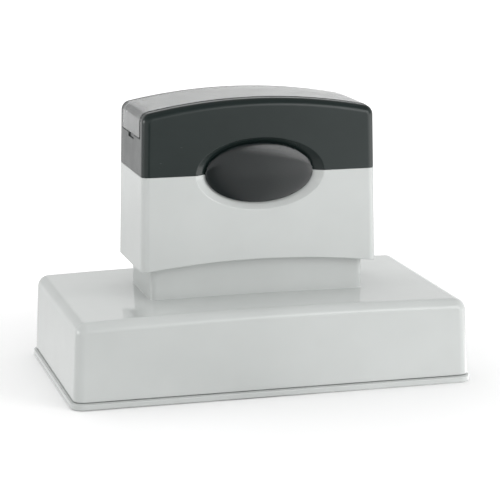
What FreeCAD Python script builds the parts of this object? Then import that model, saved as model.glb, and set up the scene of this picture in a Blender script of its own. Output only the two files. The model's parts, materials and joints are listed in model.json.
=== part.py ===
import FreeCAD
import Part
import Sketcher
import math
import operator
import os
from types import SimpleNamespace

# Pre-inked desk stamp, millimetres. +X runs along the long side, -Y is the front, +Z is up.
# The origin is the centre of the dust cover's underside, with the stamp standing on its cover.

# Driving sizes: name, value, what it measures
SIZES = [
    ("cover_floor", 1.0, "thickness of the dust cover's floor"),
    ("cover_ledge", 0.4, "rise from that floor to the ledge that carries the housing"),
    ("cover_ledge_width", 1.9, "width of the ledge inside the cover's lip"),
    ("cover_height", 2.3, "height of the cover's lip"),
    ("cover_overhang", 0.8, "how far the lip stands out past the housing"),
    ("cover_clearance", 0.12, "gap between lip and skirt, each side"),
    ("seam_gap", 0.3, "gap between the lip and the housing's shoulder"),
    ("base_length", 130.0, "housing length at its shoulder"),
    ("base_width", 74.8, "housing width at its shoulder"),
    ("base_draft_ends", 2.8, "draft of the housing's ends, degrees"),
    ("base_height", 28.5, "level of the housing's top at its middle"),
    ("base_crown", 1.1, "fall of the top from its middle to its ends"),
    ("base_edge_radius", 3.3, "rounding of the housing's corners and of its top's long sides"),
    ("base_end_extra", 0.5, "how much rounder the top's ends are than its long sides"),
    ("base_wall", 2.0, "wall of the housing"),
    ("base_top_wall", 3.5, "thickness of the housing's top at its middle"),
    ("rebate_depth", 1.0, "step from the wall in to the skirt"),
    ("skirt_wall", 1.5, "wall of the skirt inside the lip"),
    ("rib_depth", 1.2, "depth of the ribs under the housing's top"),
    ("rib_width", 1.2, "width of the ribs under the housing's top"),
    ("rib_offset", 7.0, "distance from the plunger's foot to the nearest rib"),
    ("rib_pitch", 20.0, "distance between two cross ribs"),
    ("neck_gap_ends", 1.05, "gap between the neck's ends and the inside of the shell"),
    ("neck_gap_sides", 1.15, "gap between the neck's sides and the inside of the shell"),
    ("neck_draft", 0.3, "draft of the neck, degrees"),
    ("neck_corner_radius", 2.0, "upright corners of the neck"),
    ("neck_wall", 1.8, "wall of the neck"),
    ("neck_floor", 2.5, "thickness of the floor that carries the springs"),
    ("neck_showing", 9.45, "height of neck between the housing's top and the handle's ends"),
    ("press_travel", 3.5, "stroke of the handle"),
    ("stop_clearance", 0.2, "gap left at the end of the stroke"),
    ("spring_margin", 1.2, "gap between a spring and the neck's end wall"),
    ("spring_diameter", 9.0, "outer diameter of a spring"),
    ("spring_wire", 0.9, "wire of a spring"),
    ("spring_end_pitch", 1.45, "rise of the first and the last turn of a spring"),
    ("post_clearance", 0.4, "gap between a spring and its post"),
    ("post_height", 8.0, "height of the posts inside the springs"),
    ("plunger_length", 30.0, "length of the plunger's stem"),
    ("plunger_width", 18.0, "width of the plunger's stem"),
    ("plunger_wall", 2.0, "wall of the plunger's stem"),
    ("plunger_clearance", 0.3, "gap between the stem and its opening"),
    ("foot_overhang_ends", 8.0, "how far the plunger's foot stands out past the stem along X"),
    ("foot_overhang_sides", 4.0, "how far the plunger's foot stands out past the stem along Y"),
    ("foot_thickness", 4.0, "thickness of the plunger's foot"),
    ("head_depth", 12.0, "depth of the solid block at the plunger's head"),
    ("head_length", 8.0, "length of that block between the ink tubes"),
    ("screw_diameter", 3.0, "shank of every screw"),
    ("screw_clearance", 0.1, "gap round a shank in a clearance hole"),
    ("pilot_clearance", 0.02, "gap round a shank in its pilot hole"),
    ("pilot_spare", 0.4, "depth of a pilot hole past the screw's tip"),
    ("screw_edge", 4.0, "distance from the foot's ends to its screws"),
    ("head_screw_length", 9.0, "length under the head of the head screws"),
    ("screw_head_diameter", 5.4, "head of every screw"),
    ("screw_head_height", 1.7, "height of a pan head"),
    ("head_screw_pitch", 8.6, "distance between the two head screws"),
    ("foot_screw_bite", 3.2, "how far a countersunk screw reaches into the foot"),
    ("countersink_depth", 1.2, "depth of the countersinks in the carrier"),
    ("print_relief", 2.5, "height of the printing face over its sheet"),
    ("die_gap", 1.9, "gap between the die frame and the skirt"),
    ("die_sheet", 2.0, "thickness of the sheet behind the printing face"),
    ("die_margin", 2.2, "border of the sheet past the printing face"),
    ("frame_clearance", 0.2, "gap between the die frame and what it goes round"),
    ("frame_lip", 1.2, "thickness of the die frame's lip under the die's border"),
    ("frame_wall", 1.2, "thickness of the die frame's wall"),
    ("frame_height", 8.0, "height of the die frame"),
    ("nose_length", 8.0, "length of a snap nose"),
    ("nose_height", 1.4, "height of a snap nose"),
    ("nose_depth", 0.9, "how far a snap nose stands out"),
    ("nose_inset", 23.0, "distance from the carrier's end to the outer snap noses"),
    ("carrier_plate", 2.2, "thickness of the die carrier's plate"),
    ("carrier_wall", 1.6, "wall of the die carrier"),
    ("frame_radius", 1.5, "upright corners of the die frame"),
    ("carrier_rib_height", 2.2, "height of the ribs on the die carrier"),
    ("carrier_rib_width", 1.4, "width of the ribs on the die carrier"),
    ("foam_clearance", 0.2, "gap between the ink foam and the carrier's wall"),
    ("tube_gap", 1.5, "gap between an ink tube and the plunger's head block"),
    ("tube_diameter", 5.0, "outer diameter of an ink tube"),
    ("tube_bore", 3.4, "bore of an ink tube"),
    ("tube_clearance", 0.1, "gap round an ink tube in its holes"),
    ("grommet_wall", 1.2, "wall of a tube grommet"),
    ("grommet_thickness", 1.6, "thickness of a tube grommet"),
    ("handle_length", 77.1, "length of the handle at the cap's seam"),
    ("handle_width", 35.7, "width of the handle at the cap's seam"),
    ("handle_draft_ends", 1.16, "draft of the handle's ends, degrees"),
    ("handle_draft_sides", 0.73, "draft of the handle's long sides, degrees"),
    ("handle_corner_radius", 2.5, "rounding of the handle's outer edges"),
    ("handle_wall", 2.0, "wall of the handle's shell and cap"),
    ("shell_height", 30.65, "height of the shell from its foot to the seam"),
    ("shell_arch", 2.75, "rise of the shell's lower edge to the middle"),
    ("deck_depth", 8.6, "drop from the seam to the underside of the shell's deck"),
    ("deck_thickness", 2.5, "thickness of that deck"),
    ("guide_clearance", 0.25, "gap between the neck and the shell's guide ribs"),
    ("guide_width", 1.4, "width of a guide rib"),
    ("guide_height", 15.0, "height of a guide rib under the deck"),
    ("guide_inset", 13.5, "distance from the neck's ends to the guide ribs of its sides"),
    ("guide_inset_ends", 6.7, "distance from the neck's sides to the guide ribs of its ends"),
    ("spigot_depth", 3.0, "how far the cap's spigot reaches into the shell"),
    ("spigot_wall", 1.3, "wall of the spigot"),
    ("spigot_clearance", 0.1, "gap between spigot and shell"),
    ("spigot_root", 2.0, "height of the ledge that joins the spigot to the cap"),
    ("cap_rise", 23.9, "height of the cap from the seam to its crown"),
    ("cap_crown_radius", 180.0, "radius of the crown seen from the front"),
    ("cap_shoulder_extra", 0.7, "how much rounder the cap's shoulders are than its edges"),
    ("cap_end_height", 11.8, "height of the cap's ends under the window"),
    ("slot_width", 26.6, "width of the slot between the cap's cheeks"),
    ("slot_depth", 2.2, "depth of the slot under the crown"),
    ("cap_deck", 1.8, "thickness of the cap under its slot"),
    ("notch_length", 8.0, "length of the prying notch under the window's end"),
    ("notch_height", 1.3, "height of the prying notch"),
    ("notch_depth", 0.5, "depth of the prying notch"),
    ("port_throat", 2.5, "length of an ink port over the end of its tube"),
    ("socket_wall", 1.4, "wall of the sockets that hold the ink tubes"),
    ("socket_depth", 8.0, "depth of those sockets"),
    ("window_thickness", 1.6, "wall of the index window"),
    ("window_clearance", 0.1, "gap between the window and each cheek"),
    ("window_gap", 0.3, "gap between the window's end and its ledge"),
    ("window_proud", 0.15, "how far the window stands proud of the cap"),
    ("window_edge_break", 0.3, "chamfer of the window's long edges"),
    ("card_thickness", 0.3, "thickness of the index card"),
    ("card_margin", 0.4, "gap between the card and each cheek"),
    ("card_end_gap", 2.9, "gap between the card and the slot's ends"),
    ("recess_length", 42.4, "length of the badge's recess at the handle's face"),
    ("recess_height", 23.2, "height of the badge's recess at the handle's face"),
    ("recess_depth", 1.9, "depth of the badge's recess"),
    ("badge_length", 35.6, "length of the badge"),
    ("badge_height", 19.2, "height of the badge"),
    ("badge_plate", 0.6, "thickness of the badge's plate"),
    ("badge_rim", 0.85, "height of the clear dome's upright edge"),
    ("badge_dome", 0.45, "height of the clear dome over that edge"),
    ("badge_clearance", 0.15, "gap between the badge and its recess"),
]

# Counts of a spring: all turns, closely wound turns at each end, sections in a turn, sides of the wire
SPRING_TURNS = 6
FLAT_TURNS = 1
SPRING_SECTIONS = 8
WIRE_SIDES = 6

OPERATIONS = {
    "+": operator.add,
    "-": operator.sub,
    "*": operator.mul,
    "/": operator.truediv,
}


class Size:
    """A length that keeps its value together with the sheet expression it comes from."""

    def __init__(self, text, value):
        self.text = text
        self.value = value

    def __add__(self, other):
        return joined(self, "+", other)

    def __radd__(self, other):
        return joined(other, "+", self)

    def __sub__(self, other):
        return joined(self, "-", other)

    def __rsub__(self, other):
        return joined(other, "-", self)

    def __mul__(self, other):
        return joined(self, "*", other)

    def __rmul__(self, other):
        return joined(other, "*", self)

    def __truediv__(self, other):
        return joined(self, "/", other)

    def __rtruediv__(self, other):
        return joined(other, "/", self)

    def __neg__(self):
        return joined(0, "-", self)


def as_size(number):
    if isinstance(number, Size):
        return number
    return Size(repr(float(number)), float(number))


def joined(left, sign, right):
    left = as_size(left)
    right = as_size(right)
    text = f"({left.text} {sign} {right.text})"
    return Size(text, OPERATIONS[sign](left.value, right.value))


def tangent(angle):
    return Size(f"tan({angle.text} * 1 deg)", math.tan(math.radians(angle.value)))


def root(number):
    return Size(f"sqrt({number.text})", math.sqrt(number.value))


def make_sheet(doc):
    sheet = doc.addObject("Spreadsheet::Sheet", "sizes")
    named = SimpleNamespace()
    for row, (name, value, meaning) in enumerate(SIZES, start=1):
        sheet.set(f"A{row}", name)
        sheet.set(f"B{row}", str(value))
        sheet.set(f"C{row}", meaning)
        sheet.setAlias(f"B{row}", name)
        setattr(named, name, Size(f"sizes.{name}", float(value)))
    doc.recompute()
    return named


def arc_radius(chord, rise):
    """Radius of the arc over a chord with the given rise."""
    return (chord * chord / 4 + rise * rise) / (2 * rise)


def derived_sizes(s):
    """Levels, lengths and places that several pieces share."""
    d = SimpleNamespace()
    # Levels from the floor up
    d.paper = s.cover_floor + s.cover_ledge
    d.shoulder = s.cover_height + s.seam_gap
    d.ceiling = s.base_height - s.base_top_wall
    d.neck_bed = d.ceiling + s.neck_floor
    d.handle_foot = s.base_height + s.neck_showing
    d.seam = d.handle_foot + s.shell_height
    d.deck = d.seam - s.deck_depth
    d.deck_top = d.deck + s.deck_thickness
    d.crown = d.seam + s.cap_rise
    d.ledge = d.seam + s.cap_end_height
    d.neck_top = d.deck - s.press_travel - s.stop_clearance
    # Die stack
    d.die_face = d.paper + s.press_travel
    d.sheet_bottom = d.die_face + s.print_relief
    d.sheet_top = d.sheet_bottom + s.die_sheet
    d.frame_bottom = d.sheet_bottom - s.frame_lip
    d.foot_bottom = d.ceiling - s.foot_thickness
    d.carrier_underside = d.foot_bottom - s.carrier_plate
    d.nose_level = d.frame_bottom + s.frame_height - 2 * s.nose_height
    # Plan sizes of the base
    d.skirt_length = s.base_length - 2 * s.rebate_depth
    d.skirt_width = s.base_width - 2 * s.rebate_depth
    d.skirt_radius = s.base_edge_radius - s.rebate_depth
    d.frame_length = d.skirt_length - 2 * (s.skirt_wall + s.die_gap)
    d.frame_width = d.skirt_width - 2 * (s.skirt_wall + s.die_gap)
    d.frame_border = s.frame_wall + s.frame_clearance
    d.carrier_length = d.frame_length - 2 * d.frame_border
    d.carrier_width = d.frame_width - 2 * d.frame_border
    d.print_length = d.carrier_length - 2 * s.die_margin
    d.print_width = d.carrier_width - 2 * s.die_margin
    # Plan sizes of neck, plunger and springs
    d.neck_length = s.handle_length - 2 * (s.handle_wall + s.neck_gap_ends)
    d.neck_width = s.handle_width - 2 * (s.handle_wall + s.neck_gap_sides)
    d.bore_length = d.neck_length - 2 * s.neck_wall
    d.bore_width = d.neck_width - 2 * s.neck_wall
    d.foot_length = s.plunger_length + 2 * s.foot_overhang_ends
    d.foot_width = s.plunger_width + 2 * s.foot_overhang_sides
    d.stem_bore_length = s.plunger_length - 2 * s.plunger_wall
    d.stem_bore_width = s.plunger_width - 2 * s.plunger_wall
    d.spring_x = d.bore_length / 2 - s.spring_margin - s.spring_diameter / 2
    d.post_diameter = s.spring_diameter - 2 * (s.spring_wire + s.post_clearance)
    d.tube_x = s.head_length / 2 + s.tube_gap + s.tube_diameter / 2
    d.tube_hole = s.tube_diameter + 2 * s.tube_clearance
    d.screw_hole = s.screw_diameter + 2 * s.screw_clearance
    d.pilot_hole = s.screw_diameter + 2 * s.pilot_clearance
    d.foot_screw_x = d.foot_length / 2 - s.screw_edge
    d.tube_top = d.crown - s.slot_depth - s.port_throat
    # Face of the handle and the badge in it
    d.face = s.handle_width / 2
    d.recess_floor = d.face - s.recess_depth
    d.backing = d.neck_width / 2 + s.guide_clearance
    d.cap_shoulder = s.handle_corner_radius + s.cap_shoulder_extra
    return d


# Places of repeated features

def head_screw_places(s):
    return [(0, -s.head_screw_pitch / 2), (0, s.head_screw_pitch / 2)]


def foot_screw_places(d):
    return [(-d.foot_screw_x, 0), (d.foot_screw_x, 0)]


def tube_places(d):
    return [(-d.tube_x, 0), (d.tube_x, 0)]


def spring_places(d):
    return [(-d.spring_x, 0), (d.spring_x, 0)]


def nose_offsets(s, d):
    reach = d.carrier_length / 2 - s.nose_inset
    return [-reach, as_size(0), reach]


# Shape of the handle at a level and of its crown at a depth under the surface

def handle_plan(s, d, level, wall=0):
    lean_x = 2 * (d.seam - level) * tangent(s.handle_draft_ends)
    lean_y = 2 * (d.seam - level) * tangent(s.handle_draft_sides)
    return s.handle_length + lean_x - 2 * wall, s.handle_width + lean_y - 2 * wall


def end_reach(s, d, level, depth):
    """Half length of the handle at a level, taken in by a depth."""
    return s.handle_length / 2 - (level - d.seam) * tangent(s.handle_draft_ends) - depth


def crown_level(s, d, reach, depth):
    """Level of the crown at a distance from the middle, taken down by a depth."""
    radius = s.cap_crown_radius - depth
    return d.crown - s.cap_crown_radius + root(radius * radius - reach * reach)


# Helpers for sketches and features

def origin_plane(body, role):
    return [item for item in body.Origin.OriginFeatures if item.Role == role][0]


def new_body(doc, label):
    body = doc.addObject("PartDesign::Body", label)
    body.Label = label
    body.Placement = FreeCAD.Placement()
    return body


def sketch_on(body, role, name, offset=0):
    sketch = body.newObject("Sketcher::SketchObject", name)
    sketch.AttachmentSupport = (origin_plane(body, role), [""])
    sketch.MapMode = "FlatFace"
    sketch.setExpression("AttachmentOffset.Base.z", as_size(offset).text)
    return sketch


def bound(sketch, constraint, name, size):
    """Adds a constraint whose value follows the sheet."""
    number = sketch.addConstraint(constraint)
    sketch.renameConstraint(number, name)
    sketch.setExpression(f"Constraints.{name}", size.text)


def pin_point(sketch, curve, end, x, y):
    """Fixes one point of a curve at x, y."""
    for axis, position, letter, kind in ((-2, x, "x", "DistanceX"), (-1, y, "y", "DistanceY")):
        position = as_size(position)
        if position.value == 0:
            sketch.addConstraint(Sketcher.Constraint("PointOnObject", curve, end, axis))
        else:
            constraint = Sketcher.Constraint(kind, -1, 1, curve, end, position.value)
            bound(sketch, constraint, f"{letter}{curve}", position)


def arc_between(start, end, radius, bulge):
    """The arc from start to end that bulges to the left (+1) or the right (-1) of the chord."""
    chord = end - start
    middle = (start + end) / 2
    left = FreeCAD.Vector(-chord.y, chord.x, 0).normalize()
    inset = math.sqrt(max(radius ** 2 - (chord.Length / 2) ** 2, 0))
    circle = Part.Circle(middle - left * (bulge * inset), FreeCAD.Vector(0, 0, 1), radius)
    first, last = (start, end) if bulge < 0 else (end, start)
    return Part.ArcOfCircle(circle, circle.parameter(first), circle.parameter(last))


def outline(sketch, corners, arcs=None):
    """A closed outline; arcs gives the radius and bulge of the edge that leaves a corner."""
    arcs = arcs or {}
    points = [FreeCAD.Vector(as_size(x).value, as_size(y).value, 0) for x, y in corners]
    ends = []
    for index, start in enumerate(points):
        end = points[(index + 1) % len(points)]
        if index in arcs:
            radius, bulge = arcs[index]
            curve = sketch.addGeometry(arc_between(start, end, radius.value, bulge), False)
            ends.append((curve, 1, 2) if bulge < 0 else (curve, 2, 1))
        else:
            curve = sketch.addGeometry(Part.LineSegment(start, end), False)
            ends.append((curve, 1, 2))
    for index, (x, y) in enumerate(corners):
        curve, start, _ = ends[index]
        before, _, finish = ends[index - 1]
        sketch.addConstraint(Sketcher.Constraint("Coincident", before, finish, curve, start))
        pin_point(sketch, curve, start, x, y)
    for index, (radius, _) in arcs.items():
        curve = ends[index][0]
        bound(sketch, Sketcher.Constraint("Radius", curve, radius.value), f"radius{curve}", radius)


def rectangle(sketch, length, width, x=0, y=0):
    length = as_size(length)
    width = as_size(width)
    left, right = x - length / 2, x + length / 2
    low, high = y - width / 2, y + width / 2
    outline(sketch, [(left, low), (right, low), (right, high), (left, high)])


def rounded_rectangle(sketch, length, width, radius):
    """A rectangle about the origin with rounded corners."""
    a, b = length / 2, width / 2
    c, e = a - radius, b - radius
    corners = [(-c, -b), (c, -b), (a, -e), (a, e), (c, b), (-c, b), (-a, e), (-a, -e)]
    outline(sketch, corners, {index: (radius, -1) for index in (1, 3, 5, 7)})


def circles(sketch, places, diameter):
    for x, y in places:
        centre = FreeCAD.Vector(as_size(x).value, as_size(y).value, 0)
        circle = Part.Circle(centre, FreeCAD.Vector(0, 0, 1), diameter.value / 2)
        curve = sketch.addGeometry(circle, False)
        pin_point(sketch, curve, 3, x, y)
        constraint = Sketcher.Constraint("Diameter", curve, diameter.value)
        bound(sketch, constraint, f"diameter{curve}", diameter)


def ellipse(sketch, length, height, level):
    """An ellipse in an upright sketch, on X = 0 at the given level."""
    centre = FreeCAD.Vector(0, level.value, 0)
    right = centre + FreeCAD.Vector(length.value / 2, 0, 0)
    top = centre + FreeCAD.Vector(0, height.value / 2, 0)
    curve = sketch.addGeometry(Part.Ellipse(right, top, centre), False)
    sketch.exposeInternalGeometry(curve)
    long_axis, short_axis = curve + 1, curve + 2
    pin_point(sketch, curve, 3, 0, level)
    sketch.addConstraint(Sketcher.Constraint("Horizontal", long_axis))
    for axis, size, name in ((long_axis, length, "length"), (short_axis, height, "height")):
        bound(sketch, Sketcher.Constraint("Distance", axis, size.value), name, size)


def pad(body, name, sketch, length, reverse=False, both=False):
    feature = body.newObject("PartDesign::Pad", name)
    feature.Profile = sketch
    feature.Midplane = both
    feature.Reversed = reverse
    feature.setExpression("Length", as_size(length).text)
    body.Document.recompute()
    return feature


def pocket(body, name, sketch, depth, reverse=False, both=False):
    before = body.Tip.Shape.Volume
    feature = body.newObject("PartDesign::Pocket", name)
    feature.Profile = sketch
    feature.Midplane = both
    feature.Reversed = reverse
    feature.setExpression("Length", as_size(depth).text)
    body.Document.recompute()
    if feature.Shape.Volume >= before:
        raise RuntimeError(f"{body.Label}: {name} cuts nothing")
    return feature


def loft(body, name, first, second, cut=False):
    kind = "PartDesign::SubtractiveLoft" if cut else "PartDesign::AdditiveLoft"
    feature = body.newObject(kind, name)
    feature.Profile = first
    feature.Sections = [second]
    feature.Ruled = True
    body.Document.recompute()
    return feature


def dress(body, kind, name, size, chosen):
    """Rounds or chamfers the edges of the body's tip for which chosen(edge) is true."""
    base = body.Tip
    names = [f"Edge{row}" for row, edge in enumerate(base.Shape.Edges, start=1) if chosen(edge)]
    if not names:
        raise RuntimeError(f"{body.Label}: {name} finds no edge")
    feature = body.newObject(f"PartDesign::{kind}", name)
    feature.Base = (base, names)
    feature.setExpression("Radius" if kind == "Fillet" else "Size", as_size(size).text)
    body.Document.recompute()
    return feature


def fillet(body, name, radius, chosen):
    return dress(body, "Fillet", name, radius, chosen)


def chamfer(body, name, size, chosen):
    return dress(body, "Chamfer", name, size, chosen)


def drafted_hollow(body, name, low, high, foot_plan, head_plan):
    """A hollow between two plans, each given as length and width."""
    sketches = []
    for end, level, plan in (("foot", low, foot_plan), ("head", high, head_plan)):
        sketch = sketch_on(body, "XY_Plane", f"{name}_{end}", level)
        rectangle(sketch, *plan)
        sketches.append(sketch)
    return loft(body, name, *sketches, cut=True)


def tapered_block(body, name, low, high, foot_plan, head_plan):
    """A block with flat drafted sides: its front outline, then both long sides cut to their lean."""
    front = sketch_on(body, "XZ_Plane", f"{name}_front_line")
    foot_length, foot_width = foot_plan
    head_length, head_width = head_plan
    outline(front, [(-foot_length / 2, low), (foot_length / 2, low),
                    (head_length / 2, high), (-head_length / 2, high)])
    pad(body, name, front, 2 * foot_width, both=True)
    sides = sketch_on(body, "YZ_Plane", f"{name}_side_lines")
    for side in (-1, 1):
        outline(sides, [(side * foot_width / 2, low), (side * foot_width, low),
                        (side * foot_width, high), (side * head_width / 2, high)])
    pocket(body, f"{name}_sides", sides, 2 * foot_length, both=True)


# Tests that choose edges by where they lie

def upright(edge):
    run = edge.Vertexes[-1].Point - edge.Vertexes[0].Point
    return run.Length > 0 and abs(run.z) > 0.9 * run.Length


def flat_at(edge, level):
    box = edge.BoundBox
    return abs(box.ZMin - level.value) < 1e-3 and abs(box.ZMax - level.value) < 1e-3


def on_rim(edge, length, width):
    """True near the sides of a rectangle, its rounded corners included."""
    box = edge.BoundBox
    beside_end = max(abs(box.XMin), abs(box.XMax)) > length.value / 2 - 0.05
    beside_side = max(abs(box.YMin), abs(box.YMax)) > width.value / 2 - 0.05
    return beside_end or beside_side


# Dust cover

def make_dust_cover(doc, s, d):
    body = new_body(doc, "dust_cover")
    outer = (s.base_length + 2 * s.cover_overhang, s.base_width + 2 * s.cover_overhang)
    plan = sketch_on(body, "XY_Plane", "cover_plan")
    rounded_rectangle(plan, *outer, s.base_edge_radius + s.cover_overhang)
    pad(body, "cover_block", plan, s.cover_height)

    well_plan = (d.skirt_length + 2 * s.cover_clearance, d.skirt_width + 2 * s.cover_clearance)
    well_radius = d.skirt_radius + s.cover_clearance
    well = sketch_on(body, "XY_Plane", "cover_well_plan", s.cover_height)
    rounded_rectangle(well, *well_plan, well_radius)
    pocket(body, "cover_well", well, s.cover_height - d.paper)

    floor = sketch_on(body, "XY_Plane", "cover_floor_plan", d.paper)
    floor_plan = [side - 2 * s.cover_ledge_width for side in well_plan]
    rectangle(floor, *floor_plan)
    pocket(body, "cover_floor_recess", floor, s.cover_ledge)

    chamfer(body, "cover_lower_break", 0.5 * s.cover_overhang,
            lambda edge: flat_at(edge, as_size(0)))
    chamfer(body, "cover_upper_break", 0.4 * s.cover_overhang,
            lambda edge: on_rim(edge, *outer) and flat_at(edge, s.cover_height))
    return body


# Base housing with its neck

def make_base_housing(doc, s, d):
    body = new_body(doc, "base_housing")
    neck_head = neck_plan_at(s, d, d.neck_top)
    tapered_block(body, "neck", d.neck_bed, d.neck_top, (d.neck_length, d.neck_width), neck_head)
    fillet(body, "neck_corners", s.neck_corner_radius, upright)
    housing_block(body, s, d)
    skirt = sketch_on(body, "XY_Plane", "skirt_plan", d.paper)
    rounded_rectangle(skirt, d.skirt_length, d.skirt_width, d.skirt_radius)
    pad(body, "skirt", skirt, d.shoulder - d.paper + s.base_wall)
    housing_hollow(body, s, d)
    housing_ribs(body, s, d)
    spring_floor(body, s, d, neck_head)
    return body


def neck_plan_at(s, d, level):
    lean = 2 * (level - d.neck_bed) * tangent(s.neck_draft)
    return d.neck_length - lean, d.neck_width - lean


def housing_reach(s, d, level, wall=0):
    """Half length of the housing at a level, taken in by a wall."""
    return s.base_length / 2 - (level - d.shoulder) * tangent(s.base_draft_ends) - wall


def housing_block(body, s, d):
    """The domed block with drafted ends, rounded over its ends, long sides and corners."""
    line = sketch_on(body, "XZ_Plane", "housing_line")
    radius = arc_radius(s.base_length, s.base_crown)
    foot = s.base_length / 2
    head = housing_reach(s, d, s.base_height - s.base_crown)
    top = s.base_height - radius + root(radius * radius - head * head)
    outline(line, [(-foot, d.shoulder), (foot, d.shoulder), (head, top), (-head, top)],
            {2: (radius, -1)})
    pad(body, "housing_block", line, s.base_width, both=True)
    beside_neck = d.neck_length.value / 2 + 1
    level = d.shoulder.value + 0.1

    def top_end(edge):
        box = edge.BoundBox
        along_y = box.XMax - box.XMin < 1e-3 and box.ZMax - box.ZMin < 1e-3
        return along_y and abs(box.XMin) > beside_neck and box.ZMin > level
    fillet(body, "housing_end_rounds", s.base_edge_radius + s.base_end_extra, top_end)
    face = s.base_width.value / 2 - 0.01

    def front_or_back(edge):
        box = edge.BoundBox
        return box.YMax - box.YMin < 1e-3 and abs(box.YMin) > face and box.ZMax > level
    fillet(body, "housing_side_rounds", s.base_edge_radius, front_or_back)


def housing_hollow(body, s, d):
    skirt = sketch_on(body, "XY_Plane", "skirt_hollow_plan", d.paper)
    inner_radius = d.skirt_radius - s.skirt_wall
    rounded_rectangle(skirt, d.skirt_length - 2 * s.skirt_wall,
                      d.skirt_width - 2 * s.skirt_wall, inner_radius)
    pocket(body, "skirt_hollow", skirt, d.shoulder - d.paper, reverse=True)
    line = sketch_on(body, "XZ_Plane", "housing_hollow_line")
    foot = housing_reach(s, d, d.shoulder, s.base_wall)
    head = housing_reach(s, d, d.ceiling, s.base_wall)
    outline(line, [(-foot, d.shoulder), (foot, d.shoulder), (head, d.ceiling), (-head, d.ceiling)])
    pocket(body, "housing_hollow", line, s.base_width - 2 * s.base_wall, both=True)


def housing_ribs(body, s, d):
    """Cross ribs and two long ribs under the top, clear of the plunger's foot."""
    plan = sketch_on(body, "XY_Plane", "rib_plan", d.ceiling)
    length = 2 * housing_reach(s, d, d.ceiling, s.base_wall / 2)
    width = s.base_width - s.base_wall
    near = d.foot_length / 2 + s.rib_offset
    for x in (-near - s.rib_pitch, -near, near, near + s.rib_pitch):
        rectangle(plan, s.rib_width, width, x=x)
    pad(body, "cross_ribs", plan, s.rib_depth, reverse=True)
    along = sketch_on(body, "XY_Plane", "long_rib_plan", d.ceiling)
    side = d.foot_width / 2 + s.rib_offset
    for y in (-side, side):
        rectangle(along, length, s.rib_width, y=y)
    pad(body, "long_ribs", along, s.rib_depth, reverse=True)


def spring_floor(body, s, d, neck_head):
    """Hollows the neck down to its floor, opens that floor and sets the spring posts on it."""
    wall = 2 * s.neck_wall
    drafted_hollow(body, "neck_bore", d.neck_bed, d.neck_top, (d.bore_length, d.bore_width),
                  [side - wall for side in neck_head])
    opening = sketch_on(body, "XY_Plane", "plunger_opening_plan", d.neck_bed)
    rectangle(opening, s.plunger_length + 2 * s.plunger_clearance,
              s.plunger_width + 2 * s.plunger_clearance)
    pocket(body, "plunger_opening", opening, s.neck_floor)
    posts = sketch_on(body, "XY_Plane", "post_plan", d.neck_bed)
    circles(posts, spring_places(d), d.post_diameter)
    pad(body, "spring_posts", posts, s.post_height)


# Plunger between the handle and the die carrier

def make_plunger(doc, s, d):
    body = new_body(doc, "plunger")
    stem = sketch_on(body, "XY_Plane", "stem_plan", d.foot_bottom)
    rectangle(stem, s.plunger_length, s.plunger_width)
    pad(body, "stem", stem, d.deck - d.foot_bottom)
    foot = sketch_on(body, "XY_Plane", "foot_plan", d.foot_bottom)
    rectangle(foot, d.foot_length, d.foot_width)
    pad(body, "foot", foot, s.foot_thickness)
    bore = sketch_on(body, "XY_Plane", "stem_bore_plan", d.foot_bottom)
    rectangle(bore, d.stem_bore_length, d.stem_bore_width)
    pocket(body, "stem_bore", bore, d.deck - d.foot_bottom, reverse=True)
    block = sketch_on(body, "XY_Plane", "head_plan", d.deck)
    rectangle(block, s.head_length, s.plunger_width - s.plunger_wall)
    pad(body, "head_block", block, s.head_depth, reverse=True)

    head_pilots = sketch_on(body, "XY_Plane", "head_pilot_plan", d.deck)
    circles(head_pilots, head_screw_places(s), d.pilot_hole)
    bite = s.head_screw_length - s.deck_thickness
    pocket(body, "head_pilots", head_pilots, bite + s.pilot_spare)
    foot_pilots = sketch_on(body, "XY_Plane", "foot_pilot_plan", d.foot_bottom)
    circles(foot_pilots, foot_screw_places(d), d.pilot_hole)
    pocket(body, "foot_pilots", foot_pilots, s.foot_screw_bite + s.pilot_spare, reverse=True)
    return body


# Die carrier, its ink foam, the porous die and the frame that holds it

def make_die_carrier(doc, s, d):
    body = new_body(doc, "die_carrier")
    plan = sketch_on(body, "XY_Plane", "carrier_plan", d.sheet_top)
    rectangle(plan, d.carrier_length, d.carrier_width)
    pad(body, "carrier_block", plan, d.foot_bottom - d.sheet_top)
    hollow = sketch_on(body, "XY_Plane", "carrier_hollow_plan", d.sheet_top)
    rectangle(hollow, d.carrier_length - 2 * s.carrier_wall, d.carrier_width - 2 * s.carrier_wall)
    pocket(body, "carrier_hollow", hollow, d.carrier_underside - d.sheet_top, reverse=True)
    carrier_ribs(body, s, d)
    carrier_noses(body, s, d)

    tubes = sketch_on(body, "XY_Plane", "carrier_tube_plan", d.foot_bottom)
    circles(tubes, tube_places(d), d.tube_hole)
    pocket(body, "tube_holes", tubes, s.carrier_plate)
    screws = sketch_on(body, "XY_Plane", "carrier_screw_plan", d.foot_bottom)
    circles(screws, foot_screw_places(d), d.screw_hole)
    pocket(body, "screw_holes", screws, s.carrier_plate)
    hole = d.screw_hole.value / 2
    chamfer(body, "countersinks", s.countersink_depth,
            lambda edge: flat_at(edge, d.carrier_underside) and round_with(edge, hole))
    return body


def round_with(edge, radius):
    curve = edge.Curve
    return hasattr(curve, "Radius") and abs(curve.Radius - radius) < 1e-4


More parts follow.
